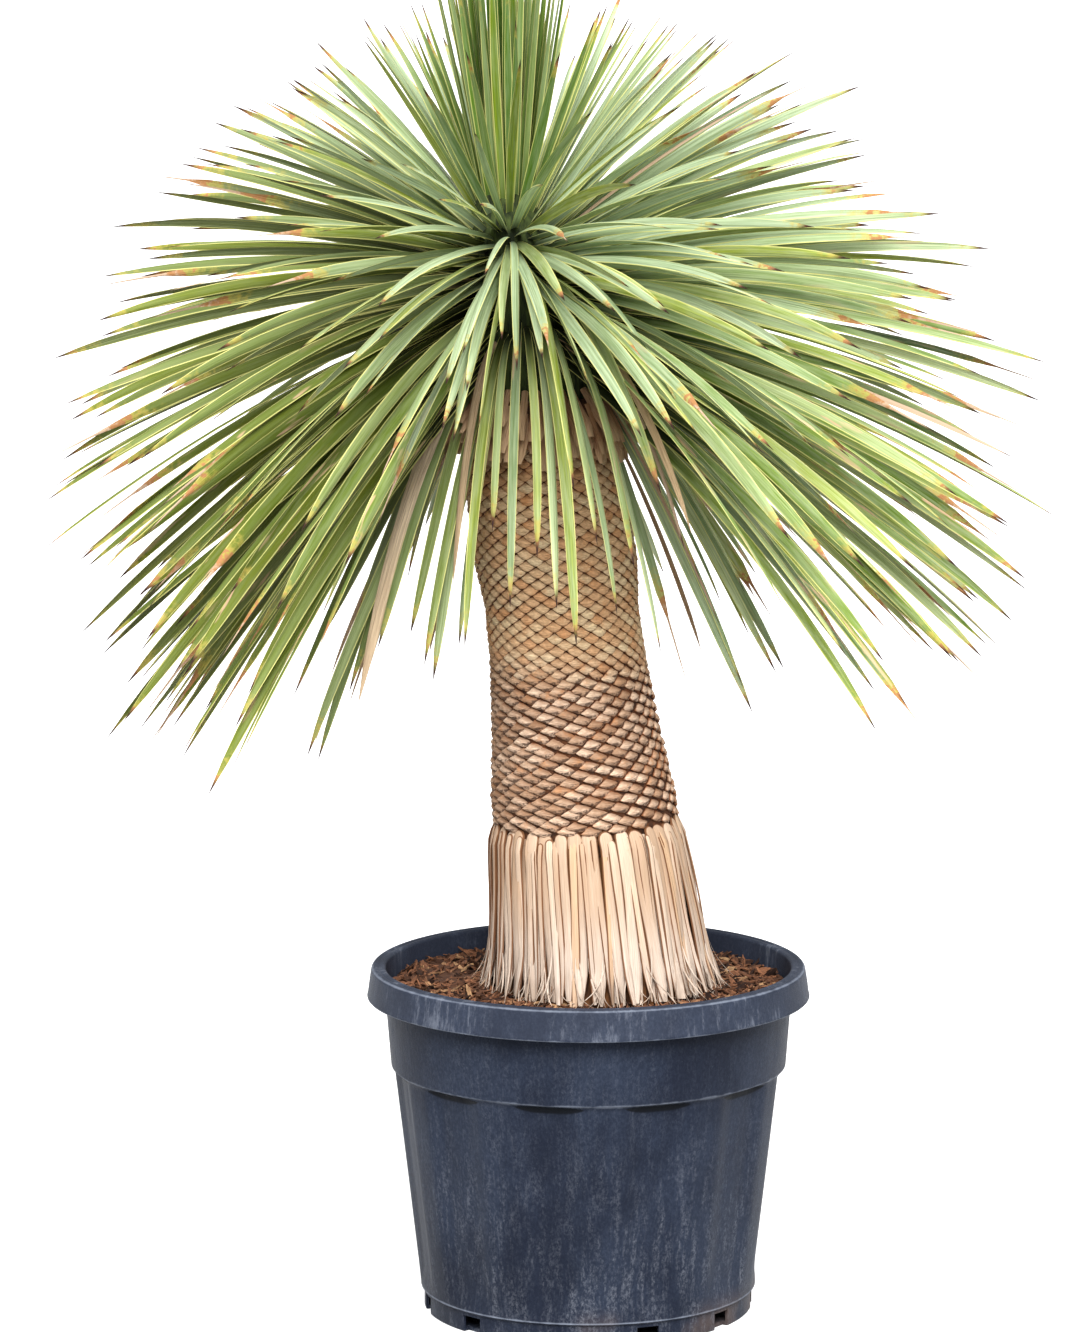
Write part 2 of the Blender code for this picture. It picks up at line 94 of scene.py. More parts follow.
lens = bpy.data.cameras.new("photograph")
lens.lens = CAMERA_LENS
lens.sensor_width = CAMERA_SENSOR
lens.clip_end = SIGHT_END
camera = link(bpy.data.objects.new("photograph", lens))
camera.location = CAMERA_PLACE
camera.rotation_euler = (math.pi / 2 - CAMERA_DOWN, 0.0, 0.0)
bpy.context.scene.camera = camera
print("camera lens:", lens.lens, "mm")

# %% [markdown]
# ## Tools for materials
# Every finish below is drawn by nodes. These short helpers add a node and wire it in one line, so
# that a recipe reads from top to bottom like coats of paint. Colours are given as a picture program
# shows them, from 0 to 255, and turned into the linear values that a shader works in.

# %% Paint
def paint(red, green, blue):
    """A linear colour from the 0 to 255 values that a picture program shows."""
    shares = [value / 255 for value in (red, green, blue)]
    linear = [s / 12.92 if s <= 0.04045 else ((s + 0.055) / 1.055) ** 2.4 for s in shares]
    return (*linear, 1.0)


print("a middle grey of 128 is", round(paint(128, 128, 128)[0], 3), "in linear light")

# %% Nodes in one line
class Nodes:
    """Adds nodes to one tree. Where a value is asked for, a word stands for a number that the mesh
    carries at each of its points under that name."""

    def __init__(self, tree):
        self.tree = tree

    def add(self, kind, values, **settings):
        """The outputs of a new node, its inputs filled by name or number."""
        made = self.tree.nodes.new("ShaderNode" + kind)
        for name, value in settings.items():
            setattr(made, name, value)
        for name, value in values.items():
            if isinstance(value, str):
                value = self.add("Attribute", {}, attribute_name=value)["Fac"]
            if isinstance(value, bpy.types.NodeSocket):
                self.tree.links.new(value, made.inputs[name])
            else:
                made.inputs[name].default_value = value
        return made.outputs

    def maths(self, way, first, second):
        """One sum of two values."""
        return self.add("Math", {0: first, 1: second}, operation=way)[0]

    def times(self, first, second):
        return self.maths("MULTIPLY", first, second)

    def between(self, value, low, high, to_low=0.0, to_high=1.0):
        """A soft step: to_low below low, to_high above high."""
        values = {"Value": value, "From Min": low, "From Max": high, "To Min": to_low, "To Max": to_high}
        return self.add("MapRange", values, interpolation_type="SMOOTHSTEP")[0]

    def noise(self, place, scale, detail=3.0, roughness=0.6):
        """A cloud of values from 0 to 1."""
        values = {"Vector": place, "Scale": scale, "Detail": detail, "Roughness": roughness}
        return self.add("TexNoise", values)["Fac"]

    def mixed(self, share, first, second, way="MIX"):
        """The second colour over the first, by share."""
        values = {0: share, 6: first, 7: second}
        return self.add("Mix", values, data_type="RGBA", blend_type=way)[2]

    def place(self, x=1.0, y=1.0, z=1.0):
        """The surface's own coordinates, stretched so that a pattern is drawn out along an axis."""
        values = {"Vector": self.add("TexCoord", {})["Object"], "Scale": (x, y, z)}
        return self.add("Mapping", values)["Vector"]

    def use(self, group, **values):
        """What a node group puts out for these values."""
        return self.add("Group", values, node_tree=group)["Value"]


# %% Finish in coats
class Finish(Nodes):
    """A material in the making: its shader and the colour that has been laid so far."""

    def __init__(self, name, roughness, gloss=0.3):
        self.material = bpy.data.materials.new(name)
        self.material.use_nodes = True
        super().__init__(self.material.node_tree)
        self.shader = self.tree.nodes["Principled BSDF"].inputs
        self.shader["Roughness"].default_value = roughness
        self.shader["Specular IOR Level"].default_value = gloss
        self.shader["Metallic"].default_value = 0.0

    def start(self, share, dark, light):
        """The first coat, from dark to light by share."""
        self.colour = self.mixed(share, paint(*dark), paint(*light))

    def lay(self, share, *shade, way="MIX"):
        """Lays a shade over the coats, by share: three numbers, or a colour from other nodes."""
        shade = paint(*shade) if len(shade) == 3 else shade[0]
        self.colour = self.mixed(share, self.colour, shade, way)

    def fill(self, name, value):
        """Wires a value that changes over the surface to the shader."""
        self.tree.links.new(value, self.shader[name])

    def done(self, height, distance, strength=1.0):
        """The finished material, with a fine relief from the height."""
        self.fill("Base Color", self.colour)
        relief = {"Height": height, "Distance": distance, "Strength": strength}
        self.fill("Normal", self.add("Bump", relief)["Normal"])
        return self.material


# %% [markdown]
# ## Shared effects
# Leaves, straw, leaf bases and bark are all bundles of fibres. The pot and the leaves have specks,
# and the edges of the pot are rubbed pale, with a painted highlight along the lip, where those of the
# leaf bases are dark. Each of these effects is built once as a node group with named sockets, and
# every finish sets it to its own scale. A group only puts out values: the shader stays in the material.

# %% Node group helpers
def new_group(name, **inputs):
    """The nodes of a new group, and its inputs, given as name and default."""
    tree = bpy.data.node_groups.new(name, "ShaderNodeTree")
    for label, value in inputs.items():
        kind = "NodeSocketVector" if isinstance(value, tuple) else "NodeSocketFloat"
        tree.interface.new_socket(label, in_out="INPUT", socket_type=kind).default_value = value
    tree.interface.new_socket("Value", in_out="OUTPUT", socket_type="NodeSocketFloat")
    return Nodes(tree), tree.nodes.new("NodeGroupInput").outputs


def close_group(nodes, value):
    """Makes the value the group's one output."""
    result = nodes.tree.nodes.new("NodeGroupOutput")
    nodes.tree.links.new(value, result.inputs["Value"])
    print("group:", nodes.tree.name)
    return nodes.tree


# %% Fibre grain
def build_fibre_grain():
    """Long fibres along a strip: noise that is fine across and stretched along it."""
    nodes, given = new_group("Fibre grain", Along=0.0, Across=0.0, Seed=0.0, Fibres=900.0, Stretch=40.0)
    across = nodes.times(given["Across"], given["Fibres"])
    along = nodes.maths("DIVIDE", nodes.times(given["Along"], given["Fibres"]), given["Stretch"])
    seed = nodes.times(given["Seed"], 57.0)
    place = nodes.add("CombineXYZ", {0: across, 1: along, 2: seed})[0]
    return close_group(nodes, nodes.between(nodes.noise(place, 1.0, 2.0), 0.28, 0.72))


FIBRE_GRAIN = build_fibre_grain()


def grain(coat, fibres, stretch):
    """Fibres that run along each strip of a piece, different on each by its tone."""
    marks = {"Along": "run", "Across": "across", "Seed": "tone"}
    return coat.use(FIBRE_GRAIN, **marks, Fibres=fibres, Stretch=stretch)


# %% Speckle
def build_speckle():
    """Scattered specks and blots: the peaks of a noise, from a few to many by Amount."""
    nodes, given = new_group("Speckle", Place=(0.0, 0.0, 0.0), Scale=60.0, Amount=0.3, Softness=0.05)
    cloud = nodes.noise(given["Place"], given["Scale"], 4.0, 0.7)
    low = nodes.maths("SUBTRACT", 0.78, nodes.times(given["Amount"], 0.4))
    high = nodes.maths("ADD", low, given["Softness"])
    return close_group(nodes, nodes.between(cloud, low, high))


SPECKLE = build_speckle()

# %% Ragged edge
def build_ragged_edge():
    """A mask near an edge, where Edge nears 1, with an uneven border that a noise gives it."""
    places = {"Place": (0.0, 0.0, 0.0), "Scale": 80.0, "Wander": 0.2}
    nodes, given = new_group("Ragged edge", Edge=0.0, Start=0.8, End=1.0, **places)
    cloud = nodes.maths("SUBTRACT", nodes.noise(given["Place"], given["Scale"]), 0.5)
    edge = nodes.maths("ADD", given["Edge"], nodes.times(cloud, given["Wander"]))
    return close_group(nodes, nodes.between(edge, given["Start"], given["End"]))


RAGGED_EDGE = build_ragged_edge()

# %% [markdown]
# ## One builder for everything that repeats
# A leaf, a straw, a cut stub, a flake of bark and a pot are all the same thing to a mesh: rings of
# points, one after another, joined into a closed tube. The builder takes an array of rings for many
# tubes at once. The points also carry marks, numbers such as how far along the leaf they are, that
# the materials read. The map laid over each tube is a straight strip, so that a picture of the
# finish can be made of it without smearing.

# %% Tube builder
MAP_NAME = "OFBake"
MAP_FILL = 0.92
CAP_SHARE = 0.012


def turns(count):
    """Angles of this many points round a circle."""
    return math.tau * np.arange(count) / count


def strip_map(count, stations, sides, bands):
    """Corners of every wall and cap on the map: the tubes' strips side by side, in bands."""
    a_band = math.ceil(count / bands)
    tube = np.arange(count)
    corner = np.stack([tube % a_band / a_band, tube // a_band / bands], axis=-1)
    size = np.array([MAP_FILL / a_band, MAP_FILL / bands])
    side = np.arange(sides)[None, :, None] + np.array([0, 1, 1, 0])
    station = np.arange(stations - 1)[:, None, None] + np.array([0, 0, 1, 1])
    side, station = np.broadcast_arrays(side / sides, station / (stations - 1))
    wall = np.stack([side, CAP_SHARE + (1 - 2 * CAP_SHARE) * station], axis=-1)
    walls = corner[:, None, None, None] + size * wall[None]
    ring = 0.5 + 0.5 * np.stack([np.cos(turns(sides)), np.sin(turns(sides))], axis=-1)
    low = corner[:, None] + size * ring * [1, CAP_SHARE]
    high = low + size * [0, 1 - CAP_SHARE]
    return np.concatenate([walls.reshape(-1, 2), low.reshape(-1, 2), high.reshape(-1, 2)])


def tubes(name, made, finish, bands=1, smooth_angle=40.0):
    """One piece made of closed tubes. made lists each tube's rings, a point for each station and
    side, and its marks, a number for the tube, for each station, or for each point."""
    rings = np.array([points for points, _ in made], float)
    count, stations, sides, _ = rings.shape
    index = np.arange(count * stations * sides).reshape(count, stations, sides)
    beside = np.roll(index, -1, axis=2)
    walls = np.stack([index[:, :-1], beside[:, :-1], beside[:, 1:], index[:, 1:]], axis=-1)
    faces = [*walls.reshape(-1, 4).tolist(), *index[:, 0].tolist(), *index[:, -1].tolist()]
    mesh = bpy.data.meshes.new(name)
    mesh.from_pydata(rings.reshape(-1, 3), [], faces)
    corners = strip_map(count, stations, sides, bands)
    mesh.uv_layers.new(name=MAP_NAME).data.foreach_set("uv", corners.ravel())
    for label in made[0][1]:
        values = np.array([marks[label] for _, marks in made], float)
        values = values.reshape(values.shape + (1,) * (3 - values.ndim))
        values = np.broadcast_to(values, (count, stations, sides))
        carried = mesh.attributes.new(label, "FLOAT", "POINT")
        carried.data.foreach_set("value", values.ravel().astype(np.float32))
    shape = bmesh.new()
    shape.from_mesh(mesh)
    bmesh.ops.recalc_face_normals(shape, faces=shape.faces)
    shape.to_mesh(mesh)
    shape.free()
    mesh.shade_smooth()
    mesh.set_sharp_from_angle(angle=math.radians(smooth_angle))
    mesh.materials.append(finish)
    piece = link(bpy.data.objects.new(name, mesh))
    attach(piece, "root")
    print(name, "has", len(made), "tubes and", len(mesh.polygons), "faces")
    return piece


def soft_step(value):
    """From 0 to 1 with a soft start and end."""
    value = np.clip(value, 0.0, 1.0)
    return value * value * (3 - 2 * value)


# %% [markdown]
# ## The pot's form
# A blow-moulded nursery pot is one skin: the lip is rolled out and turned down, the collar under it
# is plain, then the body steps in and eleven shallow flutes stiffen it down to a band at the foot.
# A turned profile gives all the rings, and the flutes are pressed in by moving points of the body
# inwards by a formula of the angle. A carved or sculpted pot would not be so regular.

# %% Pot sizes
POT_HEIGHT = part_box("pot")[1].z
WALL = 0.0035
FLOOR = 0.004
LIP_TOP_RADIUS = 0.2454
LIP_LOW_RADIUS = 0.2500
LIP_LOW_Z = 0.360
COLLAR_TOP_RADIUS = 0.2322
COLLAR_LOW_RADIUS = 0.2232
STEP_Z = 0.281
STEP_FALL = 0.004
BODY_TOP_RADIUS = 0.2198
BODY_LOW_RADIUS = 0.190
BASE_BAND_Z = 0.026
BASE_RADIUS = 0.1862
FLUTES = 11
FLUTE_SHARE = 0.0320
FIRST_FLUTE = math.radians(-69.2)
PLAIN_FLUTE = 10
FLUTE_FADE = 0.030
COLUMNS = FLUTES * 24
print("pot height:", round(POT_HEIGHT, 4))


# %% Pot outline
def arc(centre, radius, start, end, steps=5):
    """Points of a rounded corner, from one angle to another in degrees."""
    angles = [math.radians(start + (end - start) * k / steps) for k in range(steps + 1)]
    return [(centre[0] + radius * math.cos(t), centre[1] + radius * math.sin(t)) for t in angles]


def body_wall(inset, rows=16):
    """The fluted wall from the step down to the foot's band, this far inside its outer face."""
    top = STEP_Z - STEP_FALL
    shares = [*((k / rows) ** 1.5 for k in range(rows)), 0.975, 0.99, 1.0]
    fall = BODY_LOW_RADIUS - BODY_TOP_RADIUS
    return [(BODY_TOP_RADIUS + fall * s - inset, top + (BASE_BAND_Z - top) * s) for s in shares]


def pot_profile():
    """Radius and height of the skin from the middle of its floor, up inside, over the lip, down
    outside and under."""
    lip_inside = COLLAR_TOP_RADIUS - WALL
    under_lip = POT_HEIGHT - 0.006
    inside = [
        (0.001, FLOOR),
        (BASE_RADIUS - WALL, FLOOR),
        (BASE_RADIUS - WALL, BASE_BAND_Z - 0.001),
        *reversed(body_wall(WALL)),
        (COLLAR_LOW_RADIUS - WALL, STEP_Z),
        (lip_inside - 0.001, POT_HEIGHT - 0.030),
    ]
    lip = [
        *arc((lip_inside + 0.0035, POT_HEIGHT - 0.0035), 0.0035, 180, 75),
        (0.5 * (lip_inside + LIP_TOP_RADIUS), POT_HEIGHT - 0.0012),
        *arc((LIP_TOP_RADIUS - 0.0050, POT_HEIGHT - 0.0050), 0.0050, 95, 5),
        (LIP_TOP_RADIUS + 0.0020, 0.5 * (POT_HEIGHT + LIP_LOW_Z)),
        (LIP_LOW_RADIUS - 0.0008, LIP_LOW_Z + 0.0040),
        *arc((LIP_LOW_RADIUS - 0.0012, LIP_LOW_Z + 0.0012), 0.0012, 0, -90, 3),
        (LIP_LOW_RADIUS - WALL, LIP_LOW_Z),
        (LIP_TOP_RADIUS - WALL, under_lip),
        (COLLAR_TOP_RADIUS, under_lip),
    ]
    outside = [
        (0.5 * (COLLAR_TOP_RADIUS + COLLAR_LOW_RADIUS), 0.5 * (POT_HEIGHT + STEP_Z)),
        (COLLAR_LOW_RADIUS + 0.0004, STEP_Z + 0.0050),
        *arc((COLLAR_LOW_RADIUS - 0.0010, STEP_Z + 0.0010), 0.0010, 0, -80, 3),
        *body_wall(0.0),
        *arc((BODY_LOW_RADIUS - 0.0008, BASE_BAND_Z - 0.0006), 0.0010, 40, -80, 3),
        (BASE_RADIUS, BASE_BAND_Z - 0.0040),
        *arc((BASE_RADIUS - 0.0015, 0.0015), 0.0015, 0, -90, 3),
        (0.001, 0.0),
    ]
    return inside + lip + outside


# %% Flutes, wear and a painted highlight
def flute_press(angle, z):
    """Share of its radius by which a flute sets the wall back. It fades out above the foot."""
    flute = (angle - FIRST_FLUTE) / math.tau * FLUTES
    off_middle = np.abs((flute + 0.5) % 1.0 - 0.5)
    fade = soft_step((z - BASE_BAND_Z) / FLUTE_FADE) * (z < STEP_Z - STEP_FALL + 1e-5)
    return FLUTE_SHARE * soft_step(1.5 - 4 * off_middle) * fade


def pot_wear(radius, z):
    """How worn each ring of the pot is at the lip's lower edge, the step and the foot's ridge, and where a
    painted highlight runs along the lip's upper outer edge.
    """
    lip = (LIP_TOP_RADIUS - 0.0015, POT_HEIGHT - 0.0015), (LIP_LOW_RADIUS, LIP_LOW_Z)
    edges = (*lip, (COLLAR_LOW_RADIUS, STEP_Z), (BODY_LOW_RADIUS, BASE_BAND_Z))
    near = [np.exp(-(((radius - r) / 0.003) ** 2) - ((z - h) / 0.0018) ** 2) for r, h in edges]
    return np.max(near, axis=0)


# %% [markdown]
# ## The pot's finish
# Slate blue plastic that has stood outdoors: pale dust in upright streaks that thicken towards the
# foot, fine specks, and edges rubbed to a light grey. The lip is also painted a little lighter, with a
# painted highlight line along its top, and the wall under the step is darkened in the flutes with
# painted shade. The streaks are a noise pulled out along the height, which costs nothing and has no
# seam, where a painted picture would have both.

# %% Pot finish
def pot_finish():
    coat = Finish("slate blue plastic", 0.6, 0.07)
    blotches = coat.noise(coat.place(9.0, 9.0, 5.0), 1.0, 4.0)
    streaks = coat.noise(coat.place(110.0, 110.0, 12.0), 1.0, 6.0, 0.76)
    fine = coat.noise(coat.place(330.0, 330.0, 210.0), 1.0, 5.0, 0.8)
    coat.start(coat.between(blotches, 0.35, 0.7), (25, 30, 43), (40, 47, 62))
    mottled = coat.times(coat.between(fine, 0.40, 0.66), coat.between(blotches, 0.36, 0.62, 0.35))
    coat.lay(coat.times(mottled, 0.15), 92, 102, 124)
    dusty = coat.times(coat.between(streaks, 0.42, 0.68), mottled)
    coat.lay(coat.times(dusty, coat.between("height", 0.02, 0.29, 0.56, 0.12)), 150, 154, 164)
    ribs = coat.between(coat.times("rib", streaks), 0.44, 0.90, 0.0, 0.14)
    coat.lay(ribs, 120, 126, 140)
    # painted highlight: the whole lip above its lower edge is laid a little lighter blue
    lip_painted_highlight = coat.between("height", LIP_LOW_Z - 0.002, LIP_LOW_Z + 0.004, 0.0, 0.08)
    coat.lay(lip_painted_highlight, 112, 120, 140)
    place = coat.place(1.0, 1.0, 0.6)
    specks = coat.use(SPECKLE, Place=place, Scale=460.0, Amount=0.18)
    coat.lay(coat.times(specks, 0.5), 160, 164, 172)
    nicks = coat.use(SPECKLE, Place=place, Scale=90.0, Amount=0.034, Softness=0.02)
    coat.lay(coat.times(nicks, 0.9), 222, 222, 222)
    scuffs = coat.between("height", LIP_LOW_Z - 0.001, LIP_LOW_Z + 0.002, 0.0, 0.32)
    scuffs = coat.times(scuffs, coat.between(coat.times(streaks, blotches), 0.28, 0.40))
    coat.lay(scuffs, 150, 156, 170)
    # pale at the rubbed lower edge of the lip, the step and the foot's ridge, and a painted highlight line
    # along the lip's upper outer edge
    edge = {"Edge": "wear_and_highlight", "Start": 0.45, "End": 1.1, "Wander": 0.9, "Scale": 70.0}
    rubbed_and_highlit = coat.use(RAGGED_EDGE, **edge, Place=place)
    coat.lay(coat.times(rubbed_and_highlit, 0.50), 150, 158, 174)
    soil = coat.times(coat.between("height", 0.05, 0.0), coat.between(blotches, 0.48, 0.68))
    coat.lay(coat.times(soil, 0.5), 112, 92, 76)
    # painted shade under the step in the flutes, laid near black
    coat.lay(coat.between("painted_step_shade", 0.34, 0.48, 0.0, 0.88), 7, 9, 13)
    coat.fill("Roughness", coat.between(dusty, 0.0, 0.6, 0.52, 0.75))
    return coat.done(coat.maths("ADD", streaks, fine), 0.0006, 0.6)


# %% Pot
RIB_STEP = math.radians(1)
STEP_SHADE_FALL = 0.0062
NOTCH_SIZE = (0.022, 0.026, 0.024)
NOTCH_TOP = 0.019
NOTCH_REACH = 0.008


def make_pot():
    radius, z = np.hsplit(np.array(pot_profile()), 2)
    angle = turns(COLUMNS)
    press = flute_press(angle, z)
    sway = 0.0007 * np.sin(2 * angle + 0.6) + 0.0004 * np.sin(5 * angle + 9 * z)
    round_radius = radius * (1 - press) + sway * (radius > 0.1)
    ring = [round_radius * np.cos(angle), round_radius * np.sin(angle), z + 0 * angle]
    rib = np.abs(flute_press(angle + RIB_STEP, z) - flute_press(angle - RIB_STEP, z)) / FLUTE_SHARE
    # painted shade: the wall just under the step is darkened, most in the middle of each flute, where the
    # step's shadow falls
    under_step = np.exp(-np.abs(STEP_Z - STEP_FALL - z) / STEP_SHADE_FALL) * (z < STEP_Z - 0.001)
    painted_step_shade = (0.05 + 0.95 * np.sqrt(press / FLUTE_SHARE)) * under_step
    marks = {"height": z, "wear_and_highlight": pot_wear(radius, z), "rib": 3 * rib, "painted_step_shade": painted_step_shade}
    made = [(np.stack(ring, axis=-1), marks)]
    pot = tubes("nursery_pot", made, pot_finish(), smooth_angle=32)
    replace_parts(pot, "pot")
    return pot


def notch_block(angle):
    """A block that opens the foot of the wall and the edge of the floor."""
    middle = (BASE_RADIUS - NOTCH_REACH + NOTCH_SIZE[0] / 2, 0, NOTCH_TOP - NOTCH_SIZE[2] / 2)
    place = Matrix.Rotation(angle, 4, "Z") @ Matrix.Translation(middle)
    shape = bmesh.new()
    bmesh.ops.create_cube(shape, size=1.0)
    bmesh.ops.transform(shape, matrix=place @ Matrix.Diagonal((*NOTCH_SIZE, 1)), verts=shape.verts)
    block = bpy.data.meshes.new("drain notch")
    shape.to_mesh(block)
    shape.free()
    return bpy.data.objects.new("drain notch", block)


def cut_notches(pot):
    """Opens a drain notch under every flute but the plain one."""
    cutters = bpy.data.collections.new("drain notch cutters")
    bpy.context.scene.collection.children.link(cutters)
    for k in range(FLUTES):
        if k != PLAIN_FLUTE:
            cutters.objects.link(notch_block(FIRST_FLUTE + k * math.tau / FLUTES))
    trim = pot.modifiers.new("drain notches", "BOOLEAN")
    trim.operation = "DIFFERENCE"
    trim.operand_type = "COLLECTION"
    trim.collection = cutters
    graph = bpy.context.evaluated_depsgraph_get()
    mesh = bpy.data.meshes.new_from_object(pot.evaluated_get(graph))
    pot.modifiers.clear()
    pot.data = mesh
    for block in list(cutters.objects):
        bpy.data.objects.remove(block, do_unlink=True)
    bpy.data.collections.remove(cutters)


cut_notches(make_pot())

# %% [markdown]
# ## Bark mix
# The pot is filled with a coarse mix of bark and compost. A rough sheet gives its bed, and some
# thousands of flakes and crumbs lie in it at all angles. Real flakes are long, thin and split along
# the grain, so each is a flat tube of few points, curled a little, with its ends pulled to a slant.

# %% Bark finish
def bark_finish():
    """Bark, from deep brown to red-brown and tan by each flake's own tone, with split grain."""
    coat = Finish("bark mix", 0.9)
    coat.start(coat.between("tone", 0.0, 0.75), (46, 24, 14), (150, 100, 70))
    coat.lay(coat.between("tone", 0.86, 1.0), 204, 160, 116)
    split = grain(coat, 700.0, 7.0)
    coat.lay(coat.times(split, 0.55), 34, 20, 13, way="MULTIPLY")
    clods = coat.noise(coat.place(), 90.0, 4.0)
    coat.lay(coat.between(clods, 0.45, 0.75, 0.0, 0.6), 30, 19, 14)
    return coat.done(coat.maths("ADD", split, clods), 0.0012)


# %% Bed of the mix
MIX_TOP = 0.372
MIX_EDGE = 0.2255
MIX_SEED = 11


def make_bed(finish):
    """A rough round bed, lower in hollows, whose rim meets the pot's wall."""
    share = np.linspace(0.0, 1.0, 46)[:, None]
    angle = turns(150)[None]
    radius = MIX_EDGE * (0.004 + 0.996 * share) + 0 * angle
    x, y = radius * np.cos(angle), radius * np.sin(angle)
    draw = np.random.default_rng(MIX_SEED)
    lumps = np.zeros_like(x)
    for size in (0.050, 0.022, 0.011):
        for w, p in zip(draw.uniform(0, math.tau, 7), draw.uniform(0, math.tau, 7)):
            lumps += 0.10 * size * np.sin((x * np.cos(w) + y * np.sin(w)) / size * 2.4 + p)
    lumps += draw.uniform(-0.0012, 0.0012, x.shape)
    z = MIX_TOP - 0.004 + np.clip(0.45 * lumps, -0.006, 0.005)
    top = np.stack([x, y, z], axis=-1)
    skirt = top[-1:] * [1, 1, 0] + [0, 0, MIX_TOP - 0.03]
    rings = np.concatenate([top, skirt, skirt * [0.01, 0.01, 1]])
    across = {name: np.concatenate([v, v[-1:], v[-1:]]) for name, v in (("run", x), ("across", y))}
    return tubes("bark_bed", [(rings, {"tone": 0.30, **across})], finish)


bark = bark_finish()
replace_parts(make_bed(bark), "bark_mix")

# %% Flake sizes
FLAKE_OUTLINE = np.array([0.25, 0.9, 1.0, 0.85, 0.2])
FLAKE_SECTION = np.array([(-1, 0), (-0.55, 0.9), (0.5, 1), (1, 0.1), (0.6, -0.9), (-0.5, -1)])
LooseBark = namedtuple("LooseBark", "count sizes tilt")
LOOSE_BARK = {
    "bark_flakes": LooseBark(2300, ((0.008, 0.028), (0.003, 0.010), (0.0012, 0.0035)), 0.34),
    "bark_crumbs": LooseBark(1600, ((0.004, 0.010), (0.002, 0.004), (0.001, 0.002)), 0.6),
}


# %% Flake form
def flake_rings(draw, length, width, thick):
    """One flake about the origin, along X: a flat six-sided bar with slanting, ragged ends."""
    station = np.linspace(-1, 1, 5)[:, None]
    outline = (FLAKE_OUTLINE * draw.uniform(0.7, 1.15, 5))[:, None]
    curl, twist = draw.uniform(-0.25, 0.25), draw.uniform(-0.5, 0.5)
    across = outline * FLAKE_SECTION[:, 0] * width / 2
    lift = (0.35 + 0.65 * outline) * FLAKE_SECTION[:, 1] * thick / 2
    turn = twist * station
    y = across * np.cos(turn) - lift * np.sin(turn)
    z = across * np.sin(turn) + lift * np.cos(turn) + curl * length * station**2 / 2
    x = station * length / 2 + draw.uniform(-0.5, 0.5) * across
    return np.stack([x, y, z], axis=-1), across


def scatter(seed, loose):
    """Loose bark in the bed, outside the straw. Its sizes are spans of length, width, thickness."""
    draw = np.random.default_rng(seed)
    for _ in range(loose.count):
        shape, across = flake_rings(draw, *[draw.uniform(*span) for span in loose.sizes])
        radius, azimuth = MIX_EDGE * math.sqrt(draw.uniform(0.24, 0.97)), draw.uniform(0, math.tau)
        turn = Matrix.Rotation(draw.uniform(0, math.tau), 3, "Z")
        turn = turn @ Matrix.Rotation(draw.normal(0, loose.tilt), 3, "Y")
        turn = turn @ Matrix.Rotation(draw.normal(0, loose.tilt * 1.6), 3, "X")
        height = MIX_TOP + draw.uniform(-0.004, 0.002)
        placed = shape @ np.array(turn).T + [radius * math.cos(azimuth), radius * math.sin(azimuth), height]
        placed[..., 2] = np.maximum(placed[..., 2], MIX_TOP - 0.02)
        reach = np.hypot(placed[..., 0], placed[..., 1])
        placed[..., :2] *= np.minimum(1.0, MIX_EDGE / reach)[..., None]
        yield placed, {"tone": draw.uniform(0, 1), "run": shape[..., 0], "across": across}


# %% Flakes and crumbs in the bed
for k, (name, loose) in enumerate(LOOSE_BARK.items()):
    tubes(name, list(scatter(MIX_SEED + k, loose)), bark, bands=12, smooth_angle=50)

# %% [markdown]
# ## The line of the trunk
# The trunk leans a little to the left and to the viewer, and more so the higher it goes. One curve
# gives its middle at any height above the mix, and one listed outline its radius. Everything
# that grows on the trunk is placed round that curve.

# %% Plant line
PLANT_X = 0.015
LEAN_X = (-0.085, -0.045)
LEAN_Y = (-0.030, -0.060)
FOOT_RADIUS = 0.088
SHELF = 0.187
SHELF_RISE = 0.005
SHELF_TILT = 0.005
SCALE_TOP = 0.650
NECK_RADIUS = 0.074
TRUNK_TOP = 0.678
TRUNK_OUTLINE = {
    SHELF: 0.1065, 0.219: 0.1060, 0.296: 0.0965, 0.374: 0.0900, 0.436: 0.0876,
    0.497: 0.0934, 0.563: 0.0914, 0.612: 0.0860, SCALE_TOP: 0.0830,
}


def outline_at(outline, place):
    """What an outline, given as place and size, says at a place."""
    return np.interp(place, list(outline), list(outline.values()))


def plant_axis(height):
    """Middle of the plant at a height above the mix, straight down below it."""
    height = np.asarray(height, float)
    rise = np.maximum(0.0, height)
    x = PLANT_X + LEAN_X[0] * rise + LEAN_X[1] * rise**2
    y = LEAN_Y[0] * rise + LEAN_Y[1] * rise**2
    return np.stack([x, y, MIX_TOP + height], axis=-1)


def outward(angle):
    """Direction straight out from the plant at each angle."""
    return np.stack([np.cos(angle), np.sin(angle), 0 * angle], axis=-1)


def round_plant(height, radius, angle):
    """Points round the plant's middle."""
    height, radius, angle = np.broadcast_arrays(*(np.asarray(v, float) for v in (height, radius, angle)))
    return plant_axis(height) + radius[..., None] * outward(angle)


def shelf_height(angle):
    """The straw's upper edge, which climbs to the right."""
    return SHELF + SHELF_RISE + SHELF_TILT * np.cos(angle)


print("top of the trunk:", plant_axis(TRUNK_TOP).round(3))

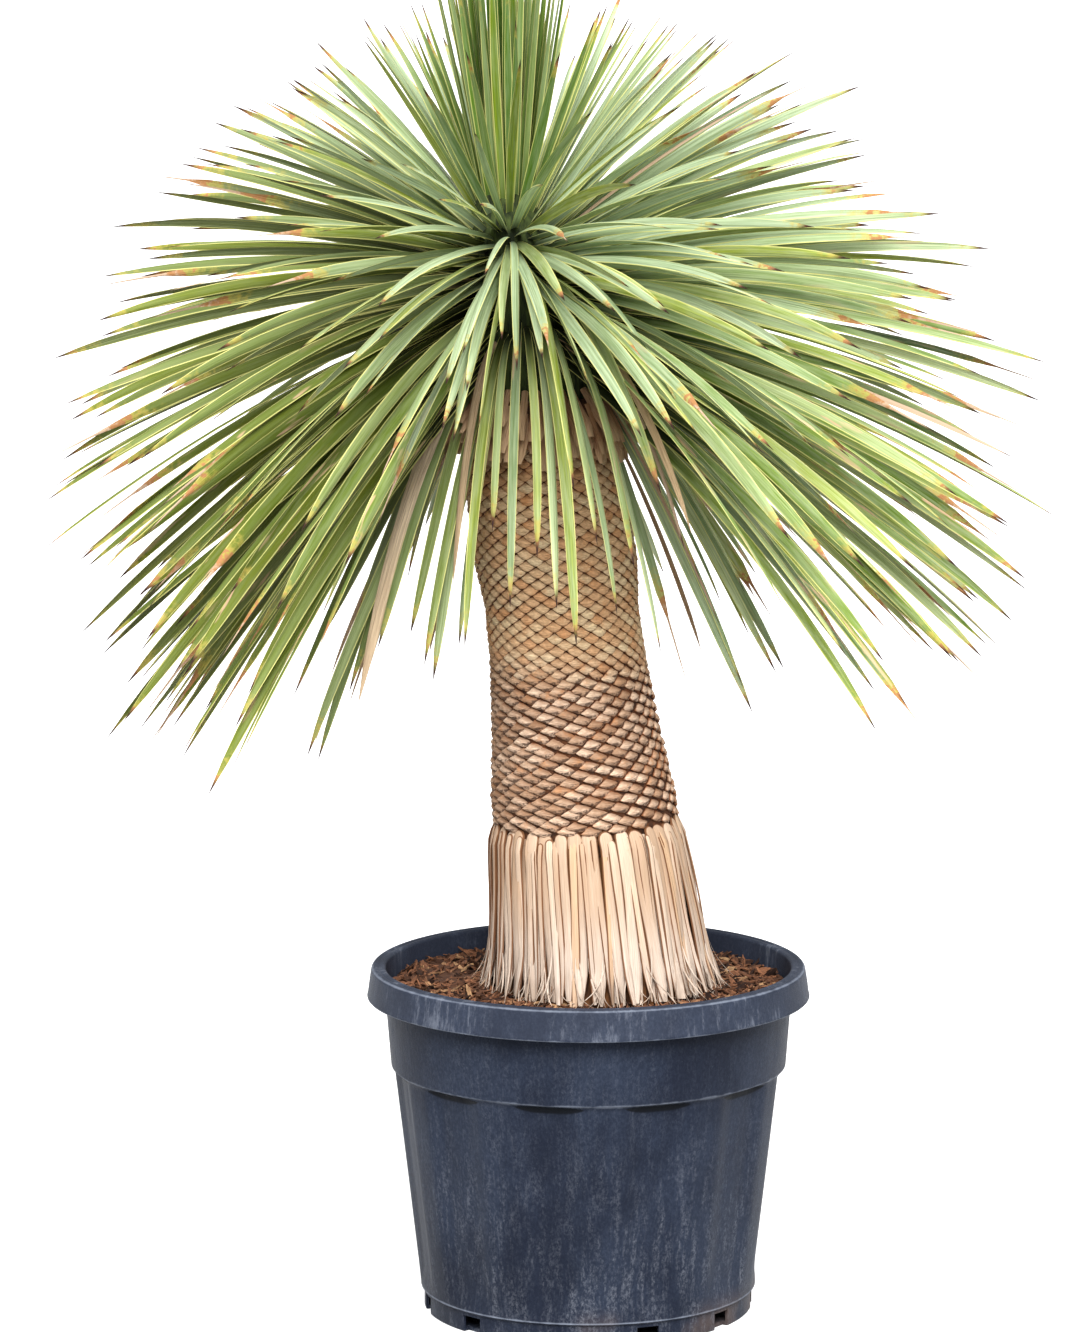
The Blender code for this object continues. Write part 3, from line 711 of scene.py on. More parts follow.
# %% [markdown]
# ## Leaf bases
# When a leaf is cut off, its base stays on the trunk as a small hard pad. High up the pads stand in
# level rows, each half a pad aside from the row below, which makes a neat tan diamond net. Lower
# down they are older and lie in sixteen strands that wind down to the right like those of a rope.
# Each pad is a small closed form of its own, because its thick lower lip casts the dark line that
# draws the net, and a bump could not do that at the trunk's outline. The top of each pad, under that
# lip, is also laid darker as painted shade, and so is the upper trunk under the head.

# %% Leaf base places
PADS_ROUND = 26
PAD_ROW = 0.0068
ROPE_ZONE = (0.335, 0.415)
ROPE_TOP = 0.372
ROPE_STEPS = (26, 16)
ROPE_RISE = 0.00033
ROPE_TURN = math.radians(9.6)


def rope_share(height):
    """1 low on the trunk, where the pads lie in strands, and 0 where they are a diamond net."""
    return 1 - soft_step((height - ROPE_ZONE[0]) / (ROPE_ZONE[1] - ROPE_ZONE[0]))


def net_places():
    """Angle and height of each pad of the net, with its steps down and up to the next rows."""
    half = math.pi / PADS_ROUND
    for row in range(int((SCALE_TOP - ROPE_TOP) / PAD_ROW) + 1):
        height = ROPE_TOP + row * PAD_ROW
        for k in range(PADS_ROUND):
            yield half * (2 * k + row % 2), height, (half, -PAD_ROW), (half, PAD_ROW)


def strand_places():
    """The same for the strands, which wind down to the right and close up round the trunk."""
    along, across = ROPE_STEPS
    down = ROPE_TURN, -across * ROPE_RISE
    up = (math.tau - along * ROPE_TURN) / across, along * ROPE_RISE
    steps = int((ROPE_TOP - SHELF) / -down[1]) + 10
    for strand in range(across):
        first = round(strand * up[1] / -down[1])
        for k in range(first, first + steps):
            height = ROPE_TOP + strand * up[1] + k * down[1]
            if height < ROPE_TOP:
                yield strand * up[0] + k * down[0], height, down, up


places = [*net_places(), *strand_places()]
print("places for leaf bases:", len(places))

# %% Leaf base form
PAD_ACROSS = np.array([-1.0, -0.80, -0.52, -0.26, 0.0, 0.26, 0.52, 0.80, 1.0])
PAD_BELLY = (0.95, 0.40)
PAD_FILL = 0.955
PAD_RINGS = np.array([0.15, 0.50, 0.78, 0.92, 1.0, 0.98])
PAD_SINK = 0.0056
PAD_SEAT = 0.0031
PAD_TILT = (0.0014, 0.0023)
PAD_DOME = (0.0010, 0.0020)
PAD_ROUNDING = 0.0018
ROPE_TAPER = 0.12
ROPE_TILT = (0.0010, 0.0020)
ROPE_ARCH = 0.0012


def pad_border(rope):
    """Border of a pad in shares of its half width and half height: pointed at the sides, straight
    above and round below, where it lies over the pads of the next row."""
    across = np.concatenate([PAD_ACROSS, PAD_ACROSS[-2:0:-1]])
    reach = np.abs(across)
    below = np.arange(len(across)) < len(PAD_ACROSS)
    belly = PAD_BELLY[0] + (PAD_BELLY[1] - PAD_BELLY[0]) * rope
    return across, np.where(below, -(1 - reach) * (1 + belly * reach), 1 - reach)


# %% One leaf base
def pad(draw, angle, height, down_step, up_step):
    """Rings of one pad, from its middle to its border and down into the trunk, with its marks."""
    rope = float(rope_share(height))
    radius = float(outline_at(TRUNK_OUTLINE, height))
    rough = 0.55 + 0.45 * rope
    share = PAD_RINGS[:, None]
    u, v = pad_border(rope)
    wobble = 1 + rough * draw.normal(0, 0.03, u.shape)
    strand = (u + v) * (1 - ROPE_TAPER * rope * (u - v) ** 2)
    strand = share * wobble * strand * (PAD_FILL + rough * draw.uniform(-0.03, 0.02) + 0.02 * rope)
    lobe = share * wobble * (u - v) * (PAD_FILL + rough * draw.uniform(-0.02, 0.04) + 0.06 * rope)
    down = -0.5 * (strand - lobe) - 0.5 * rope * (strand + lobe)
    x = 0.5 * radius * (strand * up_step[0] + lobe * down_step[0])
    y = 0.5 * (strand * up_step[1] + lobe * down_step[1])
    twist = rough * draw.normal(0, 0.07)
    x, y = x - twist * y, y + twist * x
    lift = -PAD_SEAT + draw.uniform(*PAD_TILT) * down
    lift += draw.uniform(*PAD_DOME) * (1 - share**2)
    lift -= rope * (draw.uniform(*ROPE_TILT) * lobe + ROPE_ARCH * strand**2)
    lift += draw.uniform(-0.0003, 0.0003) * rough + rough * draw.normal(0, 0.00016, x.shape)
    lift -= PAD_ROUNDING * share**8
    lift[-1] = -PAD_SINK - 0.0015
    edge = share * (1 - 0.10 * rope * (u * v < 0))
    edge[-1] = 1.25
    marks = {"edge": edge, "down": down, "run": x, "across": y, "rope": rope, "height": height + y}
    marks["stain"] = rope * (0.7 * lobe - 0.5 * strand)
    return round_plant(height + y, radius + lift, angle + x / radius), marks


# %% Trunk under the leaf bases
def clouded_finish(name, roughness, drawn_out, scale, dark, light, detail=3.0, high=0.65):
    """A rough surface that lies in shade, clouded from dark to light."""
    coat = Finish(name, roughness)
    cloud = coat.noise(coat.place(z=drawn_out), scale, detail)
    coat.start(coat.between(cloud, 0.35, high), dark, light)
    return coat.done(cloud, 0.002)


def make_core(finish):
    """A plain tube just under the pads, from inside the mix to the neck."""
    levels = [-0.05, SHELF - 0.03, *np.linspace(SHELF - 0.02, SCALE_TOP - 0.004, 24), SCALE_TOP, TRUNK_TOP]
    heights = np.array(levels)[:, None]
    radius = outline_at(TRUNK_OUTLINE, heights) - PAD_SINK
    radius[:2] = FOOT_RADIUS - 0.004
    radius[-2:] = NECK_RADIUS
    return tubes("trunk_core", [(round_plant(heights, radius, turns(72)), {})], finish)


under_pads = (48, 28, 17), (104, 62, 36)
core = clouded_finish("trunk under the leaf bases", 0.95, 1.0, 120.0, *under_pads, detail=4.0, high=0.7)
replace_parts(make_core(core), "trunk")

# %% Leaf base finish
def pad_finish():
    """Tan and dry, each pad with its own tone, dark in the grooves, with painted shade on its top under the
    pad above it and on the upper trunk under the head.
    """
    coat = Finish("cut leaf bases", 0.8, 0.12)
    coat.start("tone", (236, 180, 130), (255, 230, 186))
    coat.lay("rope", coat.mixed("tone", paint(190, 150, 120), paint(255, 224, 196)))
    fibres = grain(coat, 1000.0, 6.0)
    coat.lay(coat.times(fibres, 0.45), 152, 106, 70)
    place = coat.place()
    blots, fine = coat.noise(place, 48.0), coat.noise(place, 190.0)
    coat.lay(coat.between(blots, 0.46, 0.28, 0.0, 0.5), 214, 144, 88)
    # painted shade: the trunk darker brown towards the top, under the head
    coat.lay(coat.between("height", 0.54, 0.66, 0.0, 0.40), 118, 80, 52)
    # painted shade: the top of each pad, under the lip of the pad above, laid darker brown
    coat.lay(coat.between("down", 0.0, -0.80, 0.0, 0.62), 118, 74, 42)
    # dark grey strokes towards the lower right of each lobe of the strands
    grey_strokes = coat.times(coat.between("stain", 0.10, 0.35), coat.between("stain", 0.95, 0.70))
    grey_strokes = coat.times(grey_strokes, coat.between(fine, 0.42, 0.54, 0.15, 1.0))
    coat.lay(coat.times(grey_strokes, 0.85), 84, 64, 54)
    rust = coat.times(coat.between(blots, 0.54, 0.42), "rope")
    dark = coat.mixed(coat.times(rust, 0.5), paint(104, 62, 36), paint(176, 102, 58))
    border = {"Edge": "edge", "Start": 0.85, "End": 0.98, "Wander": 0.18, "Scale": 260.0}
    groove = coat.use(RAGGED_EDGE, **border, Place=place)
    coat.lay(coat.times(groove, 0.92), dark)
    coat.lay(coat.between("edge", 1.0, 1.1), 44, 24, 13)
    return coat.done(fibres, 0.0010, 0.9)


# %% Leaf bases
PAD_SEED = 21


def make_pads(finish):
    """All the pads, in two pieces: the neat net above and the old strands below."""
    draw = np.random.default_rng(PAD_SEED)
    pieces = {"old_leaf_bases": [], "neat_leaf_bases": []}
    for angle, height, down_step, up_step in places:
        loose = 0.2 + rope_share(height)
        height += (0.0018 * math.sin(3 * angle + 40 * height) + draw.normal(0, 0.0005)) * loose
        angle += draw.normal(0, 0.008) * loose
        if height < shelf_height(angle) + 0.001 or height > SCALE_TOP:
            continue
        points, marks = pad(draw, angle, height, down_step, up_step)
        marks["tone"] = draw.uniform(0, 1)
        pieces["old_leaf_bases" if height < ROPE_ZONE[1] else "neat_leaf_bases"].append((points, marks))
    for name, pads in pieces.items():
        tubes(name, pads, finish, bands=12, smooth_angle=55)


make_pads(pad_finish())

# %% [markdown]
# ## Straw skirt
# The oldest leaves hang down round the foot as dry straps. Each comes out from under the lowest leaf
# bases, bends over like a folded ribbon and falls to the mix, where it is frayed and grey. They
# stand in groups of a broad strap with a narrow one on it and sometimes a third beside it, which
# makes the nested arches at the top. A row of plain straps behind them fills the gaps.

# %% Strap rule
SKIRT_OUTLINE = {
    0.000: 0.1285, 0.012: 0.1262, 0.032: 0.1235, 0.073: 0.1188,
    0.136: 0.1122, 0.168: 0.1084, 0.181: 0.1045, SHELF + 0.004: 0.1020,
}
SKIRT_HEAD_RADIUS = SKIRT_OUTLINE[0.181]
HEAD_TURNS = np.radians([8, 26, 45, 66, 90])
HEAD_TUCK = (0.001, 0.003)
HEAD_REACH = 0.005
FOOT_HEIGHT = (0.000, 0.007)
FOOT_FLARE = (-0.002, 0.007)
FRAY = (0.25, 0.80)
STRAP_THICKNESS = 0.11
STRAP_SIDE = np.array([-1, -0.80, -0.36, 0, 0.36, 0.80, 1, 0.5, -0.5])
STRAP_LIFT = np.array([-0.6, 0.6, 0.9, 0.75, 0.9, 0.6, -0.6, -0.9, -0.9])
Strap = namedtuple("Strap", "aside fall width stand")
print("the skirt is", 2 * SKIRT_OUTLINE[0.0], "m wide where it meets the mix")


# %% One strap
def ribbon(height, radius, around, side, lift, turn):
    """Points of a strip that follows the trunk, its section turned by this much at each station,
    and how far each is from its middle."""
    lift, side = lift * np.cos(turn) + side * np.sin(turn), side * np.cos(turn) - lift * np.sin(turn)
    radius = radius[:, None]
    return round_plant(height[:, None], radius + lift, around[:, None] + side / radius), side


def strap(draw, azimuth, head, width, stand):
    """Rings and marks of one strap: a rounded head tucked under the leaf bases, a long fall and a
    frayed foot."""
    half = width / 2
    fall = head - draw.uniform(*FOOT_HEIGHT)
    body = half + (fall - half) * (np.arange(1, 13) / 12) ** 1.1
    walk = np.concatenate([half * (1 - np.cos(HEAD_TURNS)), body])
    along = walk / fall
    round_off = np.concatenate([np.sin(HEAD_TURNS), np.ones(12)])
    height = head - walk
    radius = outline_at(SKIRT_OUTLINE, height * SHELF / float(shelf_height(azimuth)))
    stand += draw.uniform(-0.0006, 0.0006)
    radius += stand - draw.uniform(*HEAD_TUCK) * np.exp(-((walk / HEAD_REACH) ** 2))
    radius += draw.uniform(*FOOT_FLARE) * soft_step((along - 0.72) / 0.28)
    radius += 0.0010 * np.sin(7 * along + draw.uniform(0, 6))
    drift = draw.normal(0, 0.020) + draw.normal(0, 0.030) * along
    around = azimuth + drift * along + 0.006 * np.sin(5 * along + draw.uniform(0, 6)) * along
    fray = 1 - draw.uniform(*FRAY) * soft_step((along - 0.84) / 0.16)
    size = round_off * fray * (1 + 0.10 * np.sin(9 * along + draw.uniform(0, 6)) * (along > 0.1))
    side = STRAP_SIDE * half * size[:, None]
    lift = STRAP_LIFT * STRAP_THICKNESS * width * (0.35 + 0.65 * round_off * fray)[:, None]
    turn = draw.normal(0, 0.10) + draw.normal(0, 0.40) * along[:, None] ** 2
    points, side = ribbon(height, radius, around, side, lift, turn)
    off_head = np.clip(1 - walk / half, 0, 1)[:, None]
    rim = np.hypot(np.abs(STRAP_SIDE) * round_off[:, None], off_head)
    return points, {"run": walk, "across": side, "edge": (1 - rim) * half}


# %% Group of straps
def strap_group(draw):
    """One fold of straps: a broad one, a narrow one that lies on it, and on some a third beside.
    Each is given by its place beside the group's middle, the fall of its head, width and stand."""
    way = 1 if draw.uniform() < 0.7 else -1
    inner_shade = draw.uniform(0.0080, 0.0110)
    fall, broad = draw.uniform(-0.0020, 0.0015), draw.uniform(0.0155, 0.0190)
    yield Strap(0.0, fall, broad, draw.uniform(-0.0006, 0.0006))
    yield Strap(way * draw.uniform(0.0010, 0.0040), draw.uniform(0.0045, 0.0085), inner_shade, 0.0020)
    if draw.uniform() < 0.45:
        yield Strap(-way * draw.uniform(0.0030, 0.0055), draw.uniform(0.008, 0.015), 0.7 * inner_shade, 0.0026)


# %% Straw finish
def straw_finish():
    """Pale straw with long fibres, warm on some straps, grey and stained where it meets the mix."""
    coat = Finish("dry straw", 0.72, 0.2)
    coat.start(coat.between("tone", 0.0, 1.0), (204, 172, 144), (238, 214, 190))
    coat.lay(coat.between("foot", 0.14, 0.03, 0.0, 0.7), 228, 216, 204)
    coat.lay(coat.between("tone", 0.82, 1.0, 0.0, 0.6), 222, 172, 120)
    fibres = grain(coat, 1300.0, 60.0)
    coat.lay(coat.times(fibres, 0.38), 172, 132, 96)
    coat.lay(coat.between("edge", 0.0017, 0.0008, 0.0, 0.95), 112, 68, 36)
    blots = coat.noise(coat.place(z=0.30), 46.0)
    stained = coat.times(coat.between(blots, 0.36, 0.66), coat.between("foot", 0.000, 0.070, 1.0, 0.0))
    coat.lay(coat.times(stained, 0.75), 138, 118, 102)
    return coat.done(fibres, 0.0005, 0.8)


# %% Straps, and painted shade behind them
STRAP_SEED = 5
STRAP_GROUPS = 37
BACK_STRAPS = 54


def all_straps():
    """Rings and marks of every strap."""
    draw = np.random.default_rng(STRAP_SEED)
    placed = []
    for k in range(STRAP_GROUPS):
        for each in strap_group(draw):
            placed.append((math.tau / STRAP_GROUPS * (k + draw.uniform(-0.15, 0.15)), each))
    for k in range(BACK_STRAPS):
        each = Strap(0.0, draw.uniform(0.0, 0.004), draw.uniform(0.0060, 0.0100), -0.0036)
        placed.append((math.tau * (k + draw.uniform(-0.4, 0.4)) / BACK_STRAPS, each))
    for azimuth, each in placed:
        azimuth += each.aside / SKIRT_HEAD_RADIUS
        head = float(shelf_height(azimuth)) + 0.0030 - each.fall
        points, marks = strap(draw, azimuth, head, each.width, each.stand)
        yield points, {**marks, "tone": draw.uniform(0, 1), "foot": points[..., 2] - MIX_TOP}


def make_lining(finish):
    """A plain cone just behind the straps, painted dark brown as the shade between them."""
    heights = np.linspace(-0.006, SHELF - 0.006, 12)[:, None]
    angle = turns(96)[None]
    radius = outline_at(SKIRT_OUTLINE, heights) - 0.0075 + 0.0012 * np.sin(31 * angle)
    rise = heights + SHELF_TILT * np.cos(angle) * heights / SHELF
    return tubes("straw_shade_cone", [(round_plant(rise, radius, angle), {})], finish)


straw = straw_finish()
# painted shade: the dark cone behind the straps stands for the shade between them
shaded = clouded_finish("shaded straw", 0.95, 0.08, 160.0, (46, 26, 14), (112, 72, 40))
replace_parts(make_lining(shaded), "dead_leaf_skirt")
tubes("straw_straps", list(all_straps()), straw, bands=2, smooth_angle=60)

# %% Torn fibres at the foot
FIBRES = 220
FIBRE_SEED = 8
FIBRE_ALONG = np.linspace(0, 1, 9)
FIBRE_SIDE = np.array([-1, 0, 1, 0])
FIBRE_LIFT = np.array([0, 0.35, 0, -0.35])


def torn_fibre(draw):
    """A narrow strip torn from a strap's foot, which leans out over the mix and curls."""
    azimuth = draw.uniform(0, math.tau)
    start = draw.uniform(0.004, 0.075)
    width = draw.uniform(0.0008, 0.0024)
    flare = draw.uniform(0.001, 0.012) + 0.020 * draw.uniform() ** 5
    height = start + (draw.uniform(-0.001, 0.006) - start) * FIBRE_ALONG**0.9
    radius = outline_at(SKIRT_OUTLINE, height) + 0.0034 + flare * FIBRE_ALONG**2.2
    around = azimuth + draw.normal(0, 0.05) * FIBRE_ALONG + draw.normal(0, 0.07) * FIBRE_ALONG**3
    size = (width / 2 * np.interp(FIBRE_ALONG, [0, 0.2, 0.7, 1], [0.3, 1, 0.8, 0.2]))[:, None]
    turn = draw.uniform(-0.8, 0.8) + draw.normal(0, 1.2) * FIBRE_ALONG[:, None]
    points, side = ribbon(height, radius, around, FIBRE_SIDE * size, FIBRE_LIFT * size, turn)
    marks = {"run": FIBRE_ALONG * 0.06, "across": side, "edge": 0.5, "tone": draw.uniform(0, 1)}
    return points, {**marks, "foot": points[..., 2] - MIX_TOP}


draw = np.random.default_rng(FIBRE_SEED)
torn = [torn_fibre(draw) for _ in range(FIBRES)]
tubes("straw_fibres", torn, straw, bands=2, smooth_angle=60)

# %% [markdown]
# ## One blade, for green leaves, dry leaves and stubs
# A leaf leaves the stem in a straight line and its own weight bends it down, so its middle is a
# parabola: a root, a direction, a length and a sag. The cross-section is a shallow channel with thin
# edges, which is what keeps a real leaf stiff. The same blade with other numbers is a dry leaf or
# the stub of a cut one.

# %% Blade
Blade = namedtuple("Blade", "root direction length sag side width roll spin")
LEAF_OUTLINE = {
    0.00: 0.62, 0.10: 0.78, 0.30: 0.95, 0.45: 1.00, 0.65: 0.99,
    0.80: 0.92, 0.88: 0.76, 0.93: 0.56, 0.97: 0.26, 1.00: 0.04,
}
STUB_OUTLINE = {0.0: 0.75, 0.6: 1.0, 0.92: 0.9, 1.0: 0.45}
LEAF_ALONG = np.array([0, 0.07, 0.15, 0.24, 0.33, 0.42, 0.51, 0.60, 0.68, 0.76, 0.83, 0.89, 0.94, 0.975, 1])
SECTION_ACROSS = np.array([-1.0, -0.52, 0.0, 0.52, 1.0, 0.5, 0.0, -0.5])
SECTION_UNDER = np.arange(len(SECTION_ACROSS)) > 4
CHANNEL = 0.16
BLADE_THICKNESS = 0.0016
print("points on one leaf:", len(LEAF_ALONG) * len(SECTION_ACROSS))


# %% Blade form
def blade_frame(blade, along):
    """Middle line, side direction and face direction of a blade at each share of its length."""
    along = np.asarray(along, float)[:, None]
    direction, up = np.array(blade.direction), np.array(UP)
    middle = np.array(blade.root) + blade.length * (along * direction - blade.sag * along**2 * up)
    tangent = direction - 2 * blade.sag * along * up
    tangent /= np.linalg.norm(tangent, axis=1, keepdims=True)
    side = np.array(blade.side) - (np.array(blade.side) * tangent).sum(1, keepdims=True) * tangent
    side /= np.linalg.norm(side, axis=1, keepdims=True)
    turn = blade.roll + blade.spin * along
    side = side * np.cos(turn) + np.cross(side, tangent) * np.sin(turn)
    return middle, side, np.cross(side, tangent)


def blade_rings(blade, along, half_width, bend, thickness=BLADE_THICKNESS):
    """Rings of one blade, eight points round: a channelled upper face and a keeled lower face. The
    bend moves its middle aside."""
    middle, side, face = blade_frame(blade, along)
    middle = middle + side * bend[:, None]
    across = SECTION_ACROSS * half_width[:, None]
    lift = CHANNEL * half_width[:, None] * (SECTION_ACROSS**2 - 1)
    body = thickness * (1 - 0.6 * SECTION_ACROSS**2) * SECTION_UNDER
    lift = lift - body * np.minimum(1.0, half_width[:, None] / 0.004)
    return middle[:, None] + across[..., None] * side[:, None] + lift[..., None] * face[:, None], across


def level(azimuth):
    """The same for one angle, as a vector."""
    return Vector((math.cos(azimuth), math.sin(azimuth), 0.0))


def level_side(azimuth):
    return Vector((-math.sin(azimuth), math.cos(azimuth), 0.0))


def aim(azimuth, polar):
    """Direction at this angle round the plant, and this far down from straight up."""
    out = math.sin(polar)
    return Vector((out * math.cos(azimuth), out * math.sin(azimuth), math.cos(polar)))


# %% [markdown]
# ## Collar of stubs and dry leaves
# Right under the head the leaves have been cut to short brown stubs that hang flat on the trunk, and
# some whole dry leaves are left at the sides and back. They follow the rule of the solids, with more
# rows between, because the real collar is too dense to see through.

# %% Collar rule
RING_BOTTOM = 0.654
RING_RADIUS = 0.088
STUBS = 34
DRY_LEAVES = 8
STUB_SEED = 3
FRONT = -math.pi / 2
STUB_HEIGHTS = (0.005, 0.012)
CollarRow = namedtuple("CollarRow", "height stand polar length sag width roll spin")
FLAT_STUB = {"sag": 0.12, "width": (0.0125, 0.0155), "roll": (-0.2, 0.2), "spin": (-0.3, 0.3)}
LOOSE_STUB = {"sag": (0.05, 0.20), "width": (0.008, 0.014), "roll": (-0.35, 0.35), "spin": (-0.5, 0.5)}
DRY_LEAF = {"sag": 0.30, "width": 0.012, "roll": (-0.4, 0.4), "spin": (-0.6, 0.6)}
STUB_ROW = CollarRow(0.005, -0.005, (147, 157), (0.036, 0.056), **FLAT_STUB)
DRY_ROW = CollarRow(0.005, -0.005, (146, 152), (0.24, 0.32), **DRY_LEAF)
EXTRA_STUB_ROWS = {
    46: CollarRow(0.002, -0.006, (154, 163), (0.026, 0.050), **LOOSE_STUB),
    44: CollarRow(0.020, -0.002, (142, 154), (0.034, 0.060), **LOOSE_STUB),
    34: CollarRow(0.036, -0.012, (128, 146), (0.040, 0.070), **LOOSE_STUB),
}
print("stubs:", STUBS + sum(EXTRA_STUB_ROWS), "and dry leaves:", DRY_LEAVES)


# %% Collar blades
def collar_blade(draw, azimuth, row):
    """A blade of a row of the collar. Where the row has a span, its number is drawn from it."""
    root = Vector(round_plant(RING_BOTTOM + row.height, RING_RADIUS + row.stand, azimuth))
    drawn = [draw.uniform(*span) if isinstance(span, tuple) else span for span in row[2:]]
    polar, length, sag, width, roll, spin = drawn
    direction = aim(azimuth, math.radians(polar))
    return Blade(root, direction, length, sag, level_side(azimuth), width, roll, spin)


def all_stubs():
    """The stubs that the solid collar has, which stand at two heights in turn, and those between."""
    for k in range(STUBS):
        draw = random.Random(1000 * STUB_SEED + k)
        azimuth = math.tau * (k + draw.uniform(-0.25, 0.25)) / STUBS
        yield collar_blade(draw, azimuth, STUB_ROW._replace(height=STUB_HEIGHTS[k % 2]))
    for count, row in EXTRA_STUB_ROWS.items():
        for k in range(count):
            draw = random.Random(f"{count} {k}")
            yield collar_blade(draw, math.tau * (k + draw.uniform(-0.4, 0.4)) / count, row)


def hanging_leaves():
    """The whole dry leaves that hang from the collar, at the sides and back of the trunk."""
    for k in range(DRY_LEAVES):
        azimuth = FRONT + math.radians(110 + 185 * (k + 0.5) / DRY_LEAVES)
        yield collar_blade(random.Random(2000 * STUB_SEED + k), azimuth, DRY_ROW)


# %% Dry finish
def dry_finish(name, dark, light):
    """Dead leaf between two colours by tone, with fibres and a pale end."""
    coat = Finish(name, 0.8)
    coat.start("tone", dark, light)
    fibres = grain(coat, 1100.0, 25.0)
    coat.lay(coat.times(fibres, 0.5), 122, 76, 48)
    coat.lay(coat.between("along", 0.60, 1.0, 0.0, 0.6), 222, 188, 148)
    return coat.done(fibres, 0.0008)


# %% Collar
STUB_THICKNESS = 0.0026


def make_dry_blades(name, blades, outline, along, finish, seed, **form):
    """A piece made of dry blades with one outline."""
    draw = np.random.default_rng(seed)
    made = []
    for blade in blades:
        half_width = 0.5 * blade.width * outline_at(outline, along)
        bend = 0.003 * np.sin(along * draw.uniform(2, 6) + draw.uniform(0, 6)) * along
        points, across = blade_rings(blade, along, half_width, bend, **form)
        marks = {"along": along, "run": along * blade.length, "across": across, "tone": draw.uniform(0, 1)}
        made.append((points, marks))
    return tubes(name, made, finish, bands=2, smooth_angle=60)


cut_dry = dry_finish("cut dry leaf", (168, 122, 86), (230, 192, 152))
hanging_dry = dry_finish("hanging dry leaf", (222, 188, 140), (252, 230, 196))
stub_form = STUB_OUTLINE, np.linspace(0, 1, 6), cut_dry, 31
collar = make_dry_blades("leaf_stubs", all_stubs(), *stub_form, thickness=STUB_THICKNESS)
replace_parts(collar, "cut_leaf_collar")
make_dry_blades("hanging_dry_leaves", hanging_leaves(), LEAF_OUTLINE, LEAF_ALONG, hanging_dry, 32)

# %% [markdown]
# ## The head of leaves
# Leaves grow from the stem in one long spiral, each 137.5 degrees round from the last, which is why
# a head looks even from every side. The youngest stand in an upright tuft, and the older a leaf is,
# the lower it starts, the longer it is and the further it bends over. So one number, its age, and
# seeded draws give each leaf. The solid head has the first of them, and the rest are set between
# those by the same rule, a little shorter, so that the head keeps its size. Some fifty more are
# drawn from the stem to tips that were chosen after the photograph, most of them before the trunk
# and under the head.

# %% Line of the stem
HEAD_START = TRUNK_TOP + 0.0004
HEAD_RADIUS = 0.073
HEAD_HEIGHT = 0.226
HEAD_TILT = Vector((-0.14, -0.12, 1.0))
HEAD_TAPER = 0.92
ROOT_SINK = 0.018


def head_radius(share):
    """Radius of the stem at a share of the head's height, narrowing like a bud."""
    return HEAD_RADIUS * math.sqrt(1 - (HEAD_TAPER * share) ** 2)


def head_axis(share):
    """Middle of the stem at that share."""
    return Vector(plant_axis(HEAD_START)) + share * HEAD_HEIGHT * HEAD_TILT


print("tip of the stem:", [round(v, 3) for v in head_axis(1.0)])

# %% Leaf rule
SOLID_LEAVES = 320
GOLDEN_ANGLE = math.radians(137.508)
TUFT = 22
TUFT_TILT = Vector((-0.03, -0.11, 1.0))
TUFT_ROOT = 0.90
TUFT_RADIUS = 0.026
TUFT_SPREAD = 10
TUFT_LENGTH = (0.280, 0.385)
TUFT_WIDTH = 0.0115
FIRST_POLAR = 18
MORE_POLAR = 107
LESS_IN_FRONT = 30
FRONT_DROOP = math.radians(50)
LEFT_DROOP = math.radians(30)
RIGHT_DROOP = math.radians(-4)
LEFT_SHORTER = 0.06
LEAF_LENGTHS = (0.270, 0.540)
LEAF_WIDTH = 0.0150
LEAF_ROLL = (0.35, 1.25)
STEM_SHARE = 0.73
LIFT_STEP = math.radians(3)
TRUNK_ROOM = 0.118
TRUNK_ROOM_TOP = 0.690
BARE_TOP = 0.665
BARE_HALF_WIDTH = 0.135
print("leaves in the solid:", SOLID_LEAVES, "with", TUFT, "in the tuft")


# %% Leaf by its age
def age_of(i):
    """Age of leaf number i, from 0 for the first after the tuft to 1 for the oldest."""
    return (i - TUFT) / (SOLID_LEAVES - TUFT)


def tuft_leaf(i, draw):
    """One of the young leaves that stand up in the middle, spread like seeds in a flower."""
    azimuth = i * GOLDEN_ANGLE
    spread = math.sqrt((i + 0.5) / TUFT)
    lean = UP.rotation_difference(TUFT_TILT)
    return Blade(
        root=head_axis(TUFT_ROOT) + TUFT_RADIUS * spread * level(azimuth),
        direction=lean @ aim(azimuth, math.radians(TUFT_SPREAD * spread + draw.uniform(-1, 1))),
        length=draw.uniform(*TUFT_LENGTH),
        sag=0.01,
        side=level_side(azimuth),
        width=TUFT_WIDTH,
        roll=draw.uniform(-0.2, 0.2),
        spin=draw.uniform(-0.5, 0.5),
    )


